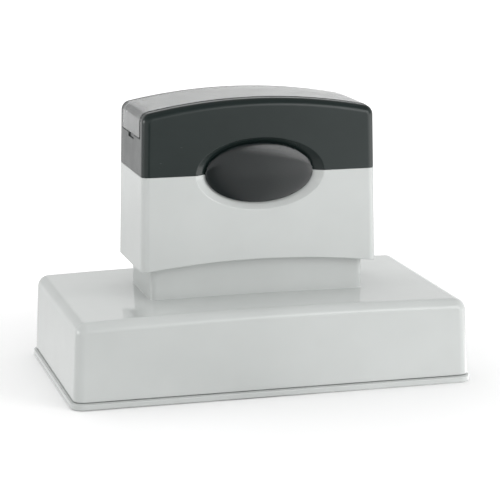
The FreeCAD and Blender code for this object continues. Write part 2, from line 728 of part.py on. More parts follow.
def carrier_ribs(body, s, d):
    """Stiffening ribs on the carrier's plate, round the plunger's foot."""
    cross = sketch_on(body, "XY_Plane", "carrier_cross_rib_plan", d.foot_bottom)
    near = d.foot_length / 2 + s.rib_offset - s.rib_width
    for x in (-near - s.rib_pitch, -near, near, near + s.rib_pitch):
        rectangle(cross, s.carrier_rib_width, d.carrier_width - 2 * s.carrier_wall, x=x)
    pad(body, "carrier_cross_ribs", cross, s.carrier_rib_height)
    along = sketch_on(body, "XY_Plane", "carrier_long_rib_plan", d.foot_bottom)
    side = d.foot_width / 2 + s.rib_offset - s.rib_width
    for y in (-side, side):
        rectangle(along, d.carrier_length - 2 * s.carrier_wall, s.carrier_rib_width, y=y)
    pad(body, "carrier_long_ribs", along, s.carrier_rib_height)


def carrier_noses(body, s, d):
    """Snap noses on the carrier's walls: three on each long side, one on each end."""
    plan = sketch_on(body, "XY_Plane", "nose_plan", d.nose_level)
    depth = s.nose_depth + s.carrier_wall / 2
    out_y = d.carrier_width / 2 - s.carrier_wall / 2 + depth / 2
    out_x = d.carrier_length / 2 - s.carrier_wall / 2 + depth / 2
    for side in (-1, 1):
        for x in nose_offsets(s, d):
            rectangle(plan, s.nose_length, depth, x=x, y=side * out_y)
        rectangle(plan, depth, s.nose_length, x=side * out_x)
    pad(body, "snap_noses", plan, s.nose_height)
    tip_x = d.carrier_length.value / 2 + s.nose_depth.value
    tip_y = d.carrier_width.value / 2 + s.nose_depth.value

    def nose_tip(edge):
        point = edge.CenterOfMass
        at_tip = abs(abs(point.x) - tip_x) < 1e-3 or abs(abs(point.y) - tip_y) < 1e-3
        return at_tip and flat_at(edge, d.nose_level)
    chamfer(body, "nose_ramps", 0.6 * s.nose_depth, nose_tip)


def make_die_frame(doc, s, d):
    body = new_body(doc, "die_frame")
    plan = sketch_on(body, "XY_Plane", "frame_plan", d.frame_bottom)
    rounded_rectangle(plan, d.frame_length, d.frame_width, s.frame_radius)
    pad(body, "frame_block", plan, s.frame_height)
    seat = sketch_on(body, "XY_Plane", "frame_seat_plan", d.sheet_bottom)
    rectangle(seat, d.frame_length - 2 * s.frame_wall, d.frame_width - 2 * s.frame_wall)
    pocket(body, "frame_seat", seat, s.frame_height - s.frame_lip, reverse=True)
    mouth = sketch_on(body, "XY_Plane", "frame_mouth_plan", d.frame_bottom)
    rectangle(mouth, d.print_length + 2 * s.frame_clearance, d.print_width + 2 * s.frame_clearance)
    pocket(body, "frame_mouth", mouth, s.frame_lip, reverse=True)

    window_length = s.nose_length + 2 * s.frame_clearance
    window_height = s.nose_height + 2 * s.frame_clearance
    middle = d.nose_level + s.nose_height / 2
    sides = sketch_on(body, "XZ_Plane", "side_window_plan")
    for x in nose_offsets(s, d):
        rectangle(sides, window_length, window_height, x=x, y=middle)
    pocket(body, "side_windows", sides, 2 * d.frame_width, both=True)
    ends = sketch_on(body, "YZ_Plane", "end_window_plan")
    rectangle(ends, window_length, window_height, y=middle)
    pocket(body, "end_windows", ends, 2 * d.frame_length, both=True)
    return body


def make_print_die(doc, s, d):
    body = new_body(doc, "print_die")
    sheet = sketch_on(body, "XY_Plane", "die_sheet_plan", d.sheet_bottom)
    rectangle(sheet, d.carrier_length, d.carrier_width)
    pad(body, "die_sheet", sheet, s.die_sheet)
    relief = sketch_on(body, "XY_Plane", "print_plan", d.sheet_bottom)
    rectangle(relief, d.print_length, d.print_width)
    pad(body, "print_face", relief, s.print_relief, reverse=True)
    return body


def make_ink_reservoir(doc, s, d):
    foam = doc.addObject("Part::Box", "ink_reservoir")
    foam.Label = "ink_reservoir"
    gap = s.carrier_wall + s.foam_clearance
    length = d.carrier_length - 2 * gap
    width = d.carrier_width - 2 * gap
    foam.setExpression("Length", length.text)
    foam.setExpression("Width", width.text)
    foam.setExpression("Height", (d.carrier_underside - d.sheet_top).text)
    place(foam, -length / 2, -width / 2, d.sheet_top)
    return foam


# Round pieces made from primitives

def place(item, x, y, z):
    for axis, position in (("x", x), ("y", y), ("z", z)):
        item.setExpression(f"Placement.Base.{axis}", as_size(position).text)


def cylinder(doc, name, diameter, height, x, y, z):
    item = doc.addObject("Part::Cylinder", name)
    item.setExpression("Radius", (diameter / 2).text)
    item.setExpression("Height", as_size(height).text)
    place(item, x, y, z)
    return item


def ring(doc, name, outer, bore, height, x, y, z):
    item = doc.addObject("Part::Cut", name)
    item.Base = cylinder(doc, f"{name}_outside", outer, height, x, y, z)
    item.Tool = cylinder(doc, f"{name}_bore", bore, height, x, y, z)
    return item


def group(doc, label, items):
    item = doc.addObject("Part::Compound", label)
    item.Label = label
    item.Links = items
    return item


def make_ink_tube(doc, s, d, label, x, y):
    tube = ring(doc, label, s.tube_diameter, s.tube_bore, d.tube_top - d.carrier_underside,
                x, y, d.carrier_underside)
    tube.Label = label
    return tube


def make_left_ink_tube(doc, s, d):
    return make_ink_tube(doc, s, d, "ink_tube_left", *tube_places(d)[0])


def make_right_ink_tube(doc, s, d):
    return make_ink_tube(doc, s, d, "ink_tube_right", *tube_places(d)[1])


def make_tube_grommets(doc, s, d):
    outer = d.tube_hole + 2 * s.grommet_wall
    rings = [ring(doc, f"grommet_{number}", outer, d.tube_hole, s.grommet_thickness,
                  x, y, d.foot_bottom)
             for number, (x, y) in enumerate(tube_places(d))]
    return group(doc, "tube_grommets", rings)


def make_head_screws(doc, s, d):
    """Pan-head screws that hold the plunger under the shell's deck."""
    screws = []
    for number, (x, y) in enumerate(head_screw_places(s)):
        screw = doc.addObject("Part::Fuse", f"head_screw_{number}")
        screw.Base = cylinder(doc, f"pan_head_{number}", s.screw_head_diameter,
                              s.screw_head_height, x, y, d.deck_top)
        screw.Tool = cylinder(doc, f"head_shank_{number}", s.screw_diameter,
                              s.head_screw_length, x, y, d.deck_top - s.head_screw_length)
        screws.append(screw)
    return group(doc, "head_screws", screws)


def make_foot_screws(doc, s, d):
    """Countersunk screws that hold the die carrier under the plunger's foot."""
    screws = []
    for number, (x, y) in enumerate(foot_screw_places(d)):
        screw = doc.addObject("Part::Fuse", f"foot_screw_{number}")
        head = doc.addObject("Part::Cone", f"flat_head_{number}")
        head.setExpression("Radius1", (s.screw_head_diameter / 2).text)
        head.setExpression("Radius2", (s.screw_diameter / 2).text)
        head.setExpression("Height", s.countersink_depth.text)
        place(head, x, y, d.carrier_underside)
        screw.Base = head
        screw.Tool = cylinder(doc, f"foot_shank_{number}", s.screw_diameter,
                              s.carrier_plate + s.foot_screw_bite, x, y, d.carrier_underside)
        screws.append(screw)
    return group(doc, "foot_screws", screws)


# Return springs

def spring_level(s, height, turn):
    """Height of the wire's centre after a number of turns, with flat turns at both ends."""
    wire = s.spring_wire.value
    end_pitch = s.spring_end_pitch.value
    open_turns = SPRING_TURNS - 2 * FLAT_TURNS
    open_rise = height - wire - 2 * FLAT_TURNS * end_pitch
    rise = min(turn, FLAT_TURNS) * end_pitch
    rise += min(max(turn - FLAT_TURNS, 0), open_turns) * open_rise / open_turns
    rise += max(turn - FLAT_TURNS - open_turns, 0) * end_pitch
    return wire / 2 + rise


def spring_point(s, height, turn):
    radius = (s.spring_diameter.value - s.spring_wire.value) / 2
    angle = 2 * math.pi * turn
    return FreeCAD.Vector(radius * math.cos(angle), radius * math.sin(angle),
                          spring_level(s, height, turn))


def spring_section(s, height, turn):
    """The wire's outline across its run after a number of turns."""
    centre = spring_point(s, height, turn)
    angle = 2 * math.pi * turn
    out = FreeCAD.Vector(math.cos(angle), math.sin(angle), 0)
    up = FreeCAD.Vector(0, 0, 1)
    radius = s.spring_wire.value / 2
    sides = [2 * math.pi * (side + 0.5) / WIRE_SIDES for side in range(WIRE_SIDES)]
    points = [centre + out * (radius * math.cos(side)) + up * (radius * math.sin(side))
              for side in sides]
    return Part.makePolygon(points + points[:1])


def spring_gap(s, height):
    """Least gap between neighbouring turns, from points along the wire."""
    steps = 24
    points = [spring_point(s, height, turn / steps) for turn in range(SPRING_TURNS * steps + 1)]
    gaps = [(a - b).Length for index, a in enumerate(points)
            for b in points[index + steps // 2:]]
    return min(gaps) - s.spring_wire.value


def make_spring(doc, s, d, label, x, y):
    height = d.deck.value - d.neck_bed.value
    stations = range(SPRING_TURNS * SPRING_SECTIONS + 1)
    sections = [spring_section(s, height, station / SPRING_SECTIONS) for station in stations]
    spring = doc.addObject("Part::Feature", label)
    spring.Label = label
    spring.Shape = Part.makeLoft(sections, True, True)
    spring.Placement = FreeCAD.Placement()
    place(spring, x, y, d.neck_bed)
    print(f"{label}: least gap between turns {spring_gap(s, height):.2f}")
    return spring


def make_left_spring(doc, s, d):
    return make_spring(doc, s, d, "return_spring_left", *spring_places(d)[0])


def make_right_spring(doc, s, d):
    return make_spring(doc, s, d, "return_spring_right", *spring_places(d)[1])


# Handle shell

def make_handle_shell(doc, s, d):
    body = new_body(doc, "handle_shell")
    low = d.handle_foot - s.shell_arch
    tapered_block(body, "shell_block", low, d.seam, handle_plan(s, d, low),
                  handle_plan(s, d, d.seam))
    fillet(body, "shell_corners", s.handle_corner_radius, upright)
    drafted_hollow(body, "shell_hollow", low, d.deck, handle_plan(s, d, low, s.handle_wall),
                  handle_plan(s, d, d.deck, s.handle_wall))
    drafted_hollow(body, "shell_well", d.deck_top, d.seam,
                  handle_plan(s, d, d.deck_top, s.handle_wall),
                  handle_plan(s, d, d.seam, s.handle_wall))
    shell_arch(body, s, d, low)
    guide_ribs(body, s, d)
    posts = sketch_on(body, "XY_Plane", "deck_post_plan", d.deck)
    circles(posts, spring_places(d), d.post_diameter)
    pad(body, "deck_posts", posts, s.post_height, reverse=True)
    badge_backing(body, s, d, d.seam - s.recess_height / 2, d.seam)
    badge_recess(body, s, d)

    screws = sketch_on(body, "XY_Plane", "deck_screw_plan", d.deck_top)
    circles(screws, head_screw_places(s), d.screw_hole)
    pocket(body, "deck_screw_holes", screws, s.deck_thickness)
    tubes = sketch_on(body, "XY_Plane", "deck_tube_plan", d.deck_top)
    circles(tubes, tube_places(d), d.tube_hole)
    pocket(body, "deck_tube_holes", tubes, s.deck_thickness)
    return body


def shell_arch(body, s, d, low):
    """Arches the shell's lower edge."""
    chord = handle_plan(s, d, d.handle_foot)[0]
    line = sketch_on(body, "XZ_Plane", "arch_line")
    under = low - s.handle_wall
    half = chord / 2
    reach = half + s.handle_wall
    outline(line,
            [(-reach, under), (reach, under), (reach, d.handle_foot), (half, d.handle_foot),
             (-half, d.handle_foot), (-reach, d.handle_foot)],
            {3: (arc_radius(chord, s.shell_arch), -1)})
    pocket(body, "arch_cut", line, 2 * s.handle_width, both=True)


def guide_ribs(body, s, d):
    """Ribs inside the shell that slide on the neck."""
    plan = sketch_on(body, "XY_Plane", "guide_plan", d.deck)
    in_wall = s.handle_wall / 2
    inner_y = d.neck_width / 2 + s.guide_clearance
    outer_y = s.handle_width / 2 - in_wall
    inner_x = d.neck_length / 2 + s.guide_clearance
    outer_x = s.handle_length / 2 - in_wall
    side_x = d.neck_length / 2 - s.guide_inset
    end_y = d.neck_width / 2 - s.guide_inset_ends
    for side in (-1, 1):
        for x in (-side_x, side_x):
            rectangle(plan, s.guide_width, outer_y - inner_y, x=x,
                      y=side * (inner_y + outer_y) / 2)
        for y in (-end_y, end_y):
            rectangle(plan, outer_x - inner_x, s.guide_width,
                      x=side * (inner_x + outer_x) / 2, y=y)
    pad(body, "guide_ribs", plan, s.guide_height, reverse=True)


def badge_backing(body, s, d, low, high):
    """Thickens the front wall behind the badge, from the neck's clearance out."""
    plan = sketch_on(body, "XZ_Plane", "backing_plan", d.backing)
    rectangle(plan, s.recess_length, high - low, y=(low + high) / 2)
    pad(body, "badge_backing", plan, d.face - s.handle_wall / 2 - d.backing)


def badge_recess(body, s, d):
    """The bevelled oval recess that cap and shell share."""
    floor_length = s.badge_length + 2 * s.badge_clearance
    floor_height = s.badge_height + 2 * s.badge_clearance
    past = s.recess_depth / 4
    spread = (s.recess_depth + past) / s.recess_depth
    floor = sketch_on(body, "XZ_Plane", "recess_floor_line", d.recess_floor)
    ellipse(floor, floor_length, floor_height, d.seam)
    mouth = sketch_on(body, "XZ_Plane", "recess_mouth_line", d.face + past)
    ellipse(mouth, floor_length + (s.recess_length - floor_length) * spread,
            floor_height + (s.recess_height - floor_height) * spread, d.seam)
    loft(body, "badge_recess", floor, mouth, cut=True)


# Handle cap

def make_handle_cap(doc, s, d):
    body = new_body(doc, "handle_cap")
    cap_block(body, s, d)
    cap_hollow(body, s, d)
    cap_slot(body, s, d)
    cap_spigot(body, s, d)
    badge_backing(body, s, d, d.seam, d.seam + s.recess_height / 2)
    badge_recess(body, s, d)
    ink_sockets(body, s, d)
    prying_notches(body, s, d)
    return body


def cap_block(body, s, d):
    """The crowned block with drafted ends, rounded shoulders and a rounded outline."""
    line = sketch_on(body, "XZ_Plane", "cap_line")
    foot = s.handle_length / 2
    head = end_reach(s, d, d.crown, 0)
    outline(line,
            [(-foot, d.seam), (foot, d.seam), (head, crown_level(s, d, head, 0)),
             (-head, crown_level(s, d, head, 0))],
            {2: (s.cap_crown_radius, -1)})
    pad(body, "cap_block", line, s.handle_width, both=True)
    level = d.seam.value + 0.1

    def shoulder_edge(edge):
        box = edge.BoundBox
        return box.XMax - box.XMin < 1e-3 and box.ZMin > level and box.ZMax - box.ZMin < 1e-3
    fillet(body, "cap_shoulders", d.cap_shoulder, shoulder_edge)

    def front_or_back(edge):
        box = edge.BoundBox
        return box.YMax - box.YMin < 1e-3 and box.ZMax > level
    fillet(body, "cap_outline", s.handle_corner_radius, front_or_back)


def cap_hollow(body, s, d):
    """Hollows the cap from below, stepped in where the window's ends lie outside."""
    line = sketch_on(body, "XZ_Plane", "cap_hollow_line")
    step = d.ledge - s.cap_deck
    low = d.seam - s.spigot_depth
    wide = end_reach(s, d, step, s.handle_wall)
    narrow = end_reach(s, d, d.crown, s.slot_depth + s.cap_deck)
    top = crown_level(s, d, narrow, s.slot_depth + s.cap_deck)
    outline(line,
            [(-wide, low), (wide, low), (wide, step), (narrow, step), (narrow, top),
             (-narrow, top), (-narrow, step), (-wide, step)],
            {4: (s.cap_crown_radius - s.slot_depth - s.cap_deck, -1)})
    pocket(body, "cap_hollow", line, s.handle_width - 2 * s.handle_wall, both=True)


def cap_slot(body, s, d):
    """The slot between the cheeks that takes the card and the window."""
    line = sketch_on(body, "XZ_Plane", "slot_line")
    low_reach = end_reach(s, d, d.ledge, s.slot_depth)
    high_reach = end_reach(s, d, d.crown, s.slot_depth)
    top = crown_level(s, d, high_reach, s.slot_depth)
    out = s.handle_length / 2
    high = d.crown + s.handle_wall
    outline(line,
            [(-out, d.ledge), (-low_reach, d.ledge), (-high_reach, top), (high_reach, top),
             (low_reach, d.ledge), (out, d.ledge), (out, high), (-out, high)],
            {2: (s.cap_crown_radius - s.slot_depth, 1)})
    pocket(body, "window_slot", line, s.slot_width, both=True)


def cap_spigot(body, s, d):
    """The spigot under the cap, cut away in front for the shell's badge backing."""
    length, width = handle_plan(s, d, d.seam, s.handle_wall + s.spigot_clearance)
    wall = 2 * s.spigot_wall
    for name, level, height, extra in (
            ("spigot", d.seam - s.spigot_depth, s.spigot_depth, as_size(0)),
            ("spigot_root", d.seam, s.spigot_root, s.handle_wall)):
        plan = sketch_on(body, "XY_Plane", f"{name}_plan", level)
        rectangle(plan, length + extra, width + extra)
        rectangle(plan, length - wall, width - wall)
        pad(body, name, plan, height)
    gap = sketch_on(body, "XY_Plane", "spigot_gap_plan", d.seam)
    rectangle(gap, s.recess_length + 2 * s.spigot_clearance + s.spigot_wall,
              s.handle_wall + wall, y=-width / 2)
    pocket(body, "spigot_gap", gap, s.spigot_depth)


def ink_sockets(body, s, d):
    """Ink ports through the deck, with a socket under each for its tube."""
    boss = d.tube_hole + 2 * s.socket_wall
    under = d.crown - s.slot_depth
    plan = sketch_on(body, "XY_Plane", "socket_plan", under - s.cap_deck / 2)
    circles(plan, tube_places(d), boss)
    pad(body, "sockets", plan, s.socket_depth, reverse=True)
    bore = sketch_on(body, "XY_Plane", "socket_bore_plan", d.tube_top)
    circles(bore, tube_places(d), d.tube_hole)
    pocket(body, "socket_bores", bore, s.socket_depth)
    port = sketch_on(body, "XY_Plane", "port_plan", under)
    circles(port, tube_places(d), s.tube_bore)
    pocket(body, "ports", port, s.socket_depth)


def prying_notches(body, s, d):
    """A shallow notch in each end, just under the window."""
    line = sketch_on(body, "XZ_Plane", "notch_line")
    middle = d.ledge - s.notch_height / 2
    inner = end_reach(s, d, d.ledge, s.notch_depth)
    outer = s.handle_length / 2
    for side in (-1, 1):
        rectangle(line, outer - inner, s.notch_height, x=side * (inner + outer) / 2, y=middle)
    pocket(body, "prying_notches", line, s.notch_length, both=True)


# Index window and card on the cap

def make_index_window(doc, s, d):
    body = new_body(doc, "index_window")
    low = d.ledge + s.window_gap
    inside = s.window_thickness - s.window_proud
    outer_foot = end_reach(s, d, low, -s.window_proud)
    outer_top = end_reach(s, d, d.crown, -s.window_proud)
    inner_foot = end_reach(s, d, low, inside)
    inner_top = end_reach(s, d, d.crown, inside)
    outer_level = crown_level(s, d, outer_top, -s.window_proud)
    inner_level = crown_level(s, d, inner_top, inside)
    line = sketch_on(body, "XZ_Plane", "window_line")
    outline(line,
            [(-outer_foot, low), (-outer_top, outer_level), (outer_top, outer_level),
             (outer_foot, low), (inner_foot, low), (inner_top, inner_level),
             (-inner_top, inner_level), (-inner_foot, low)],
            {1: (s.cap_crown_radius + s.window_proud, 1),
             5: (s.cap_crown_radius - inside, -1)})
    width = s.slot_width - 2 * s.window_clearance
    pad(body, "window_shell", line, width, both=True)

    def shoulder(edge, reach, level):
        point = edge.CenterOfMass
        return abs(abs(point.x) - reach.value) < 0.05 and abs(point.z - level.value) < 0.05
    fillet(body, "window_shoulders", d.cap_shoulder + s.window_proud,
           lambda edge: shoulder(edge, outer_top, outer_level))
    fillet(body, "window_inner_shoulders", d.cap_shoulder - inside,
           lambda edge: shoulder(edge, inner_top, inner_level))
    half = width.value / 2 - 0.01
    middle = -(inside.value - s.window_proud.value) / 2

    def long_outer_edge(edge):
        point = edge.valueAt((edge.FirstParameter + edge.LastParameter) / 2)
        if abs(point.y) < half or point.z < low.value + 0.1:
            return False
        along_crown = crown_level(s, d, as_size(abs(point.x)), 0).value + middle
        at_end = end_reach(s, d, as_size(point.z), 0).value + middle
        return point.z > along_crown or abs(point.x) > at_end
    chamfer(body, "window_edge_breaks", s.window_edge_break, long_outer_edge)
    return body


def make_index_card(doc, s, d):
    body = new_body(doc, "index_card")
    reach = end_reach(s, d, d.crown, s.slot_depth + s.card_end_gap)
    top = s.slot_depth - s.card_thickness
    line = sketch_on(body, "XZ_Plane", "card_line")
    outline(line,
            [(-reach, crown_level(s, d, reach, s.slot_depth)),
             (reach, crown_level(s, d, reach, s.slot_depth)),
             (reach, crown_level(s, d, reach, top)),
             (-reach, crown_level(s, d, reach, top))],
            {0: (s.cap_crown_radius - s.slot_depth, 1), 2: (s.cap_crown_radius - top, -1)})
    pad(body, "card", line, s.slot_width - 2 * s.card_margin, both=True)
    return body


# Badge in the recess

def make_badge_plate(doc, s, d):
    body = new_body(doc, "badge_plate")
    line = sketch_on(body, "XZ_Plane", "badge_line", d.recess_floor)
    ellipse(line, s.badge_length, s.badge_height, d.seam)
    pad(body, "badge_plate_pad", line, s.badge_plate)
    return body


def make_badge_lens(doc, s, d):
    """The clear dome: an oval slab under a shallow crown, curved both ways."""
    oval = doc.addObject("Part::Ellipse", "lens_line")
    oval.setExpression("MajorRadius", (s.badge_length / 2).text)
    oval.setExpression("MinorRadius", (s.badge_height / 2).text)
    slab = doc.addObject("Part::Extrusion", "lens_slab")
    slab.Base = oval
    slab.DirMode = "Custom"
    slab.Dir = FreeCAD.Vector(0, 0, 1)
    slab.Solid = True
    slab.setExpression("LengthFwd", (s.badge_rim + 2 * s.badge_dome).text)
    along = arc_radius(s.badge_length, s.badge_dome)
    across = arc_radius(s.badge_height, s.badge_dome)
    crown = doc.addObject("Part::Torus", "lens_crown")
    crown.setExpression("Radius1", (along - across).text)
    crown.setExpression("Radius2", across.text)
    crown.Placement.Rotation = FreeCAD.Rotation(FreeCAD.Vector(1, 0, 0), 90)
    place(crown, 0, 0, s.badge_rim + s.badge_dome - along)
    lens = doc.addObject("Part::Common", "badge_lens")
    lens.Label = "badge_lens"
    lens.Base = slab
    lens.Tool = crown
    lens.Placement.Rotation = FreeCAD.Rotation(FreeCAD.Vector(1, 0, 0), 90)
    place(lens, 0, -d.recess_floor - s.badge_plate, d.seam)
    return lens


PIECES = [
    make_dust_cover,
    make_base_housing,
    make_left_spring,
    make_right_spring,
    make_plunger,
    make_foot_screws,
    make_die_carrier,
    make_ink_reservoir,
    make_print_die,
    make_die_frame,
    make_tube_grommets,
    make_left_ink_tube,
    make_right_ink_tube,
    make_handle_shell,
    make_head_screws,
    make_handle_cap,
    make_badge_plate,
    make_badge_lens,
    make_index_card,
    make_index_window,
]


def check_document(doc, pieces):
    faults = [item.Name for item in doc.Objects
              if "Invalid" in item.State or "Error" in item.State]
    for piece in pieces:
        if piece.Shape.isNull() or not piece.Shape.isValid():
            faults.append(piece.Label)
    if faults:
        raise RuntimeError("failed: " + ", ".join(faults))


def main():
    doc = FreeCAD.newDocument("pre_inked_stamp")
    sizes = make_sheet(doc)
    derived = derived_sizes(sizes)
    pieces = [make(doc, sizes, derived) for make in PIECES]
    doc.recompute()
    check_document(doc, pieces)
    os.makedirs("parts", exist_ok=True)
    for piece in pieces:
        piece.Shape.exportStep(os.path.join("parts", piece.Label + ".step"))
        box = piece.Shape.optimalBoundingBox(False, False)
        print(f"{piece.Label}: {len(piece.Shape.Solids)} solid, volume {piece.Shape.Volume:.1f},"
              f" x {box.XMin:.2f} {box.XMax:.2f}, y {box.YMin:.2f} {box.YMax:.2f},"
              f" z {box.ZMin:.2f} {box.ZMax:.2f}")


main()
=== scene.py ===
import bpy
import bmesh
import json
import math
from mathutils import Matrix, Vector


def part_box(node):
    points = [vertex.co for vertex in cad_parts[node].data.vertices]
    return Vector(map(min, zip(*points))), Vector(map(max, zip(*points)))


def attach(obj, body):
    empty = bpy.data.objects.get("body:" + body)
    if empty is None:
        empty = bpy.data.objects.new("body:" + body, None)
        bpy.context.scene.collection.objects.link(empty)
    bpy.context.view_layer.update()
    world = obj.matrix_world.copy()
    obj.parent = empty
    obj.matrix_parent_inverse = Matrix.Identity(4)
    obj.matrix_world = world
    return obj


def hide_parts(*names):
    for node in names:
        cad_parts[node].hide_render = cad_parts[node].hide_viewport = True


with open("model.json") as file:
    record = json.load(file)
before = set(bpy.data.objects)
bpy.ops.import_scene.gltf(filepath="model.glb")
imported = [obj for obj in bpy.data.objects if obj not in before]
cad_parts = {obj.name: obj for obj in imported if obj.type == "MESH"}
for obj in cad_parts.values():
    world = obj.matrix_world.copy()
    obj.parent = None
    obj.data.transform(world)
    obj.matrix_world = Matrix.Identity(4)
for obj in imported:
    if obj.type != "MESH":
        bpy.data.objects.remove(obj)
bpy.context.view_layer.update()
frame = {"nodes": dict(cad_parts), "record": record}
nodes = frame["nodes"]
print("frame loaded:", len(nodes), "nodes")


# Camera, fitted to the photograph's outlines

cameraFit = {
    "focalPixels": 2082.25,
    "framePixels": 500,
    "centrePixel": (246.251, 279.063),   # where the target lies in the frame
    "target": (0, 0, 0.030),
    "azimuth": -15.116,
    "elevation": 11.972,
    "roll": -0.083,
    "distance": 0.68976,
    "sensorWidth": 36,
    "clipStart": 0.01,
}


def makeCamera(fit):
    azimuth = math.radians(fit["azimuth"])
    elevation = math.radians(fit["elevation"])
    back = Vector((math.sin(azimuth) * math.cos(elevation),
                   -math.cos(azimuth) * math.cos(elevation),
                   math.sin(elevation)))
    right = (-back).cross(Vector((0, 0, 1))).normalized()
    up = right.cross(-back)
    roll = Matrix.Rotation(math.radians(fit["roll"]), 3, back)
    right = roll @ right
    up = roll @ up
    half = fit["framePixels"] / 2
    across = (fit["centrePixel"][0] - half) / fit["focalPixels"]
    along = (half - fit["centrePixel"][1]) / fit["focalPixels"]
    aim = -back + across * right + along * up
    place = Vector(fit["target"]) - fit["distance"] * aim
    data = bpy.data.cameras.new("photoCamera")
    data.sensor_width = fit["sensorWidth"]
    data.lens = fit["sensorWidth"] * fit["focalPixels"] / fit["framePixels"]
    data.clip_start = fit["clipStart"]
    camera = bpy.data.objects.new("photoCamera", data)
    turn = Matrix((right, up, back)).transposed().to_4x4()
    camera.matrix_world = Matrix.Translation(place) @ turn
    bpy.context.scene.collection.objects.link(camera)
    bpy.context.scene.camera = camera


# Node trees: short ways to add a node with its values and links

def addNode(tree, kind, inputs=None, **settings):
    item = tree.nodes.new(kind)
    for name, value in settings.items():
        setattr(item, name, value)
    for name, value in (inputs or {}).items():
        if isinstance(value, bpy.types.NodeSocket):
            tree.links.new(value, item.inputs[name])
        else:
            item.inputs[name].default_value = value
    return item


def doMath(tree, operation, first, second=0.0):
    return addNode(tree, "ShaderNodeMath", {0: first, 1: second}, operation=operation).outputs[0]


def spread(tree, value, low, high, toLow=0.0, toHigh=1.0, smooth=False):
    item = addNode(tree, "ShaderNodeMapRange",
                   {"Value": value, "From Min": low, "From Max": high,
                    "To Min": toLow, "To Max": toHigh})
    if smooth:
        item.interpolation_type = "SMOOTHSTEP"
    return item.outputs["Result"]


# Studio: a pale floor, a soft sky and six soft lamps. What shiny faces mirror is set apart from
# what lights them, so that the dark and light lines along the edges lie as in the photograph

studio = {
    "floorSize": 12.0,
    "floorColour": (0.86, 0.86, 0.86),
    # The floor's brightness to the camera and in reflections: distance from the middle, strength
    "floorGlow": ((0.07, 0.12), (0.26, 0.46)),
    "floorMirrored": ((0.28, 0.88), (0.40, 1.05)),
    # The sky at the horizon and overhead: to the camera, in reflections and as light on surfaces
    "skySeen": (1.0, 1.0),
    "skyMirrored": (0.93, 0.3),
    "skyLight": (0.56, 1.0),
    "skyHeights": (0.15, 0.85),   # where the change from the horizon starts and ends
    # Darker or brighter sides: azimuth from the front towards +X, half width, share of change
    "mirroredSides": ((-168, 50, -0.1), (-10, 24, -0.72), (30, 18, 0.7), (66, 40, 1.8)),
    "lightSides": ((-25, 60, -0.5),),
    "skySides": ((-172, 22, -0.4),),
    "sideCore": 0.2,              # share of the half width that has the full change
    # A soft box that shows in reflections only
    "softBox": {"azimuth": 32, "elevation": 15, "core": 6, "rim": 24, "strength": 3.2},
    "lampAim": (0, 0, 0.04),
    "lamps": {
        "keyLamp": {"azimuth": 44, "elevation": 15, "distance": 1.1, "size": (0.5, 0.6),
                    "power": 4.3},
        "lowLamp": {"azimuth": 20, "elevation": 6, "distance": 1.0, "size": (0.26, 0.26),
                    "power": 0.8},
        "highLamp": {"azimuth": -5, "elevation": 50, "distance": 1.4, "size": (0.8, 0.8),
                     "power": 1.5},
        "leftLamp": {"azimuth": -96, "elevation": 8, "distance": 1.3, "size": (0.8, 0.5),
                     "power": 4.7, "mirrored": True, "through": True},
        "rightLamp": {"azimuth": 96, "elevation": 8, "distance": 1.3, "size": (0.8, 0.5),
                      "power": 1.5},
        "backLamp": {"azimuth": -150, "elevation": 50, "distance": 1.4, "size": (0.8, 0.8),
                     "power": 2.0, "through": True},
    },
}


def seenOrLit(tree, seen, mirrored, lit):
    # One value for the camera, one for reflections and clear pieces, one for the light on surfaces
    path = addNode(tree, "ShaderNodeLightPath").outputs
    rays = doMath(tree, "MAXIMUM", path["Is Glossy Ray"], path["Is Transmission Ray"])
    value = spread(tree, rays, 0.0, 1.0, lit, mirrored)
    return spread(tree, path["Is Camera Ray"], 0.0, 1.0, value, seen)


def bySide(tree, parts, level, sides, core):
    # A level that rises or falls round some azimuths, counted from the front towards +X
    azimuth = doMath(tree, "ARCTAN2", parts["X"], doMath(tree, "MULTIPLY", parts["Y"], -1.0))
    for middle, width, change in sides:
        off = doMath(tree, "ABSOLUTE", doMath(tree, "SUBTRACT", azimuth, math.radians(middle)))
        share = spread(tree, off, core * math.radians(width), math.radians(width),
                       1.0 + change, 1.0, smooth=True)
        level = doMath(tree, "MULTIPLY", level, share)
    return level


def aimAt(azimuth, elevation):
    # A direction from the object, its azimuth counted from the front towards +X
    around = math.radians(azimuth)
    above = math.radians(elevation)
    return Vector((math.sin(around) * math.cos(above), -math.cos(around) * math.cos(above),
                   math.sin(above)))


def makeSky(values):
    world = bpy.data.worlds.new("studioSky")
    bpy.context.scene.world = world
    world.use_nodes = True
    tree = world.node_tree
    tree.nodes.clear()
    aim = addNode(tree, "ShaderNodeTexCoord")
    parts = addNode(tree, "ShaderNodeSeparateXYZ", {0: aim.outputs["Generated"]}).outputs
    levels = [values[name] for name in ("skySeen", "skyMirrored", "skyLight")]
    seen, mirrored, lit = [spread(tree, parts["Z"], *values["skyHeights"], *level, smooth=True)
                           for level in levels]
    lit = bySide(tree, parts, lit, values["lightSides"], values["sideCore"])
    mirrored = bySide(tree, parts, mirrored, values["skySides"], values["sideCore"])
    box = values["softBox"]
    near = addNode(tree, "ShaderNodeVectorMath",
                   {0: aim.outputs["Generated"], 1: aimAt(box["azimuth"], box["elevation"])},
                   operation="DOT_PRODUCT").outputs["Value"]
    shine = spread(tree, near, math.cos(math.radians(box["rim"])),
                   math.cos(math.radians(box["core"])), 0.0, box["strength"], smooth=True)
    mirrored = doMath(tree, "ADD", mirrored, shine)
    sky = addNode(tree, "ShaderNodeBackground",
                  {"Color": (1, 1, 1, 1), "Strength": seenOrLit(tree, seen, mirrored, lit)})
    addNode(tree, "ShaderNodeOutputWorld", {"Surface": sky.outputs[0]})


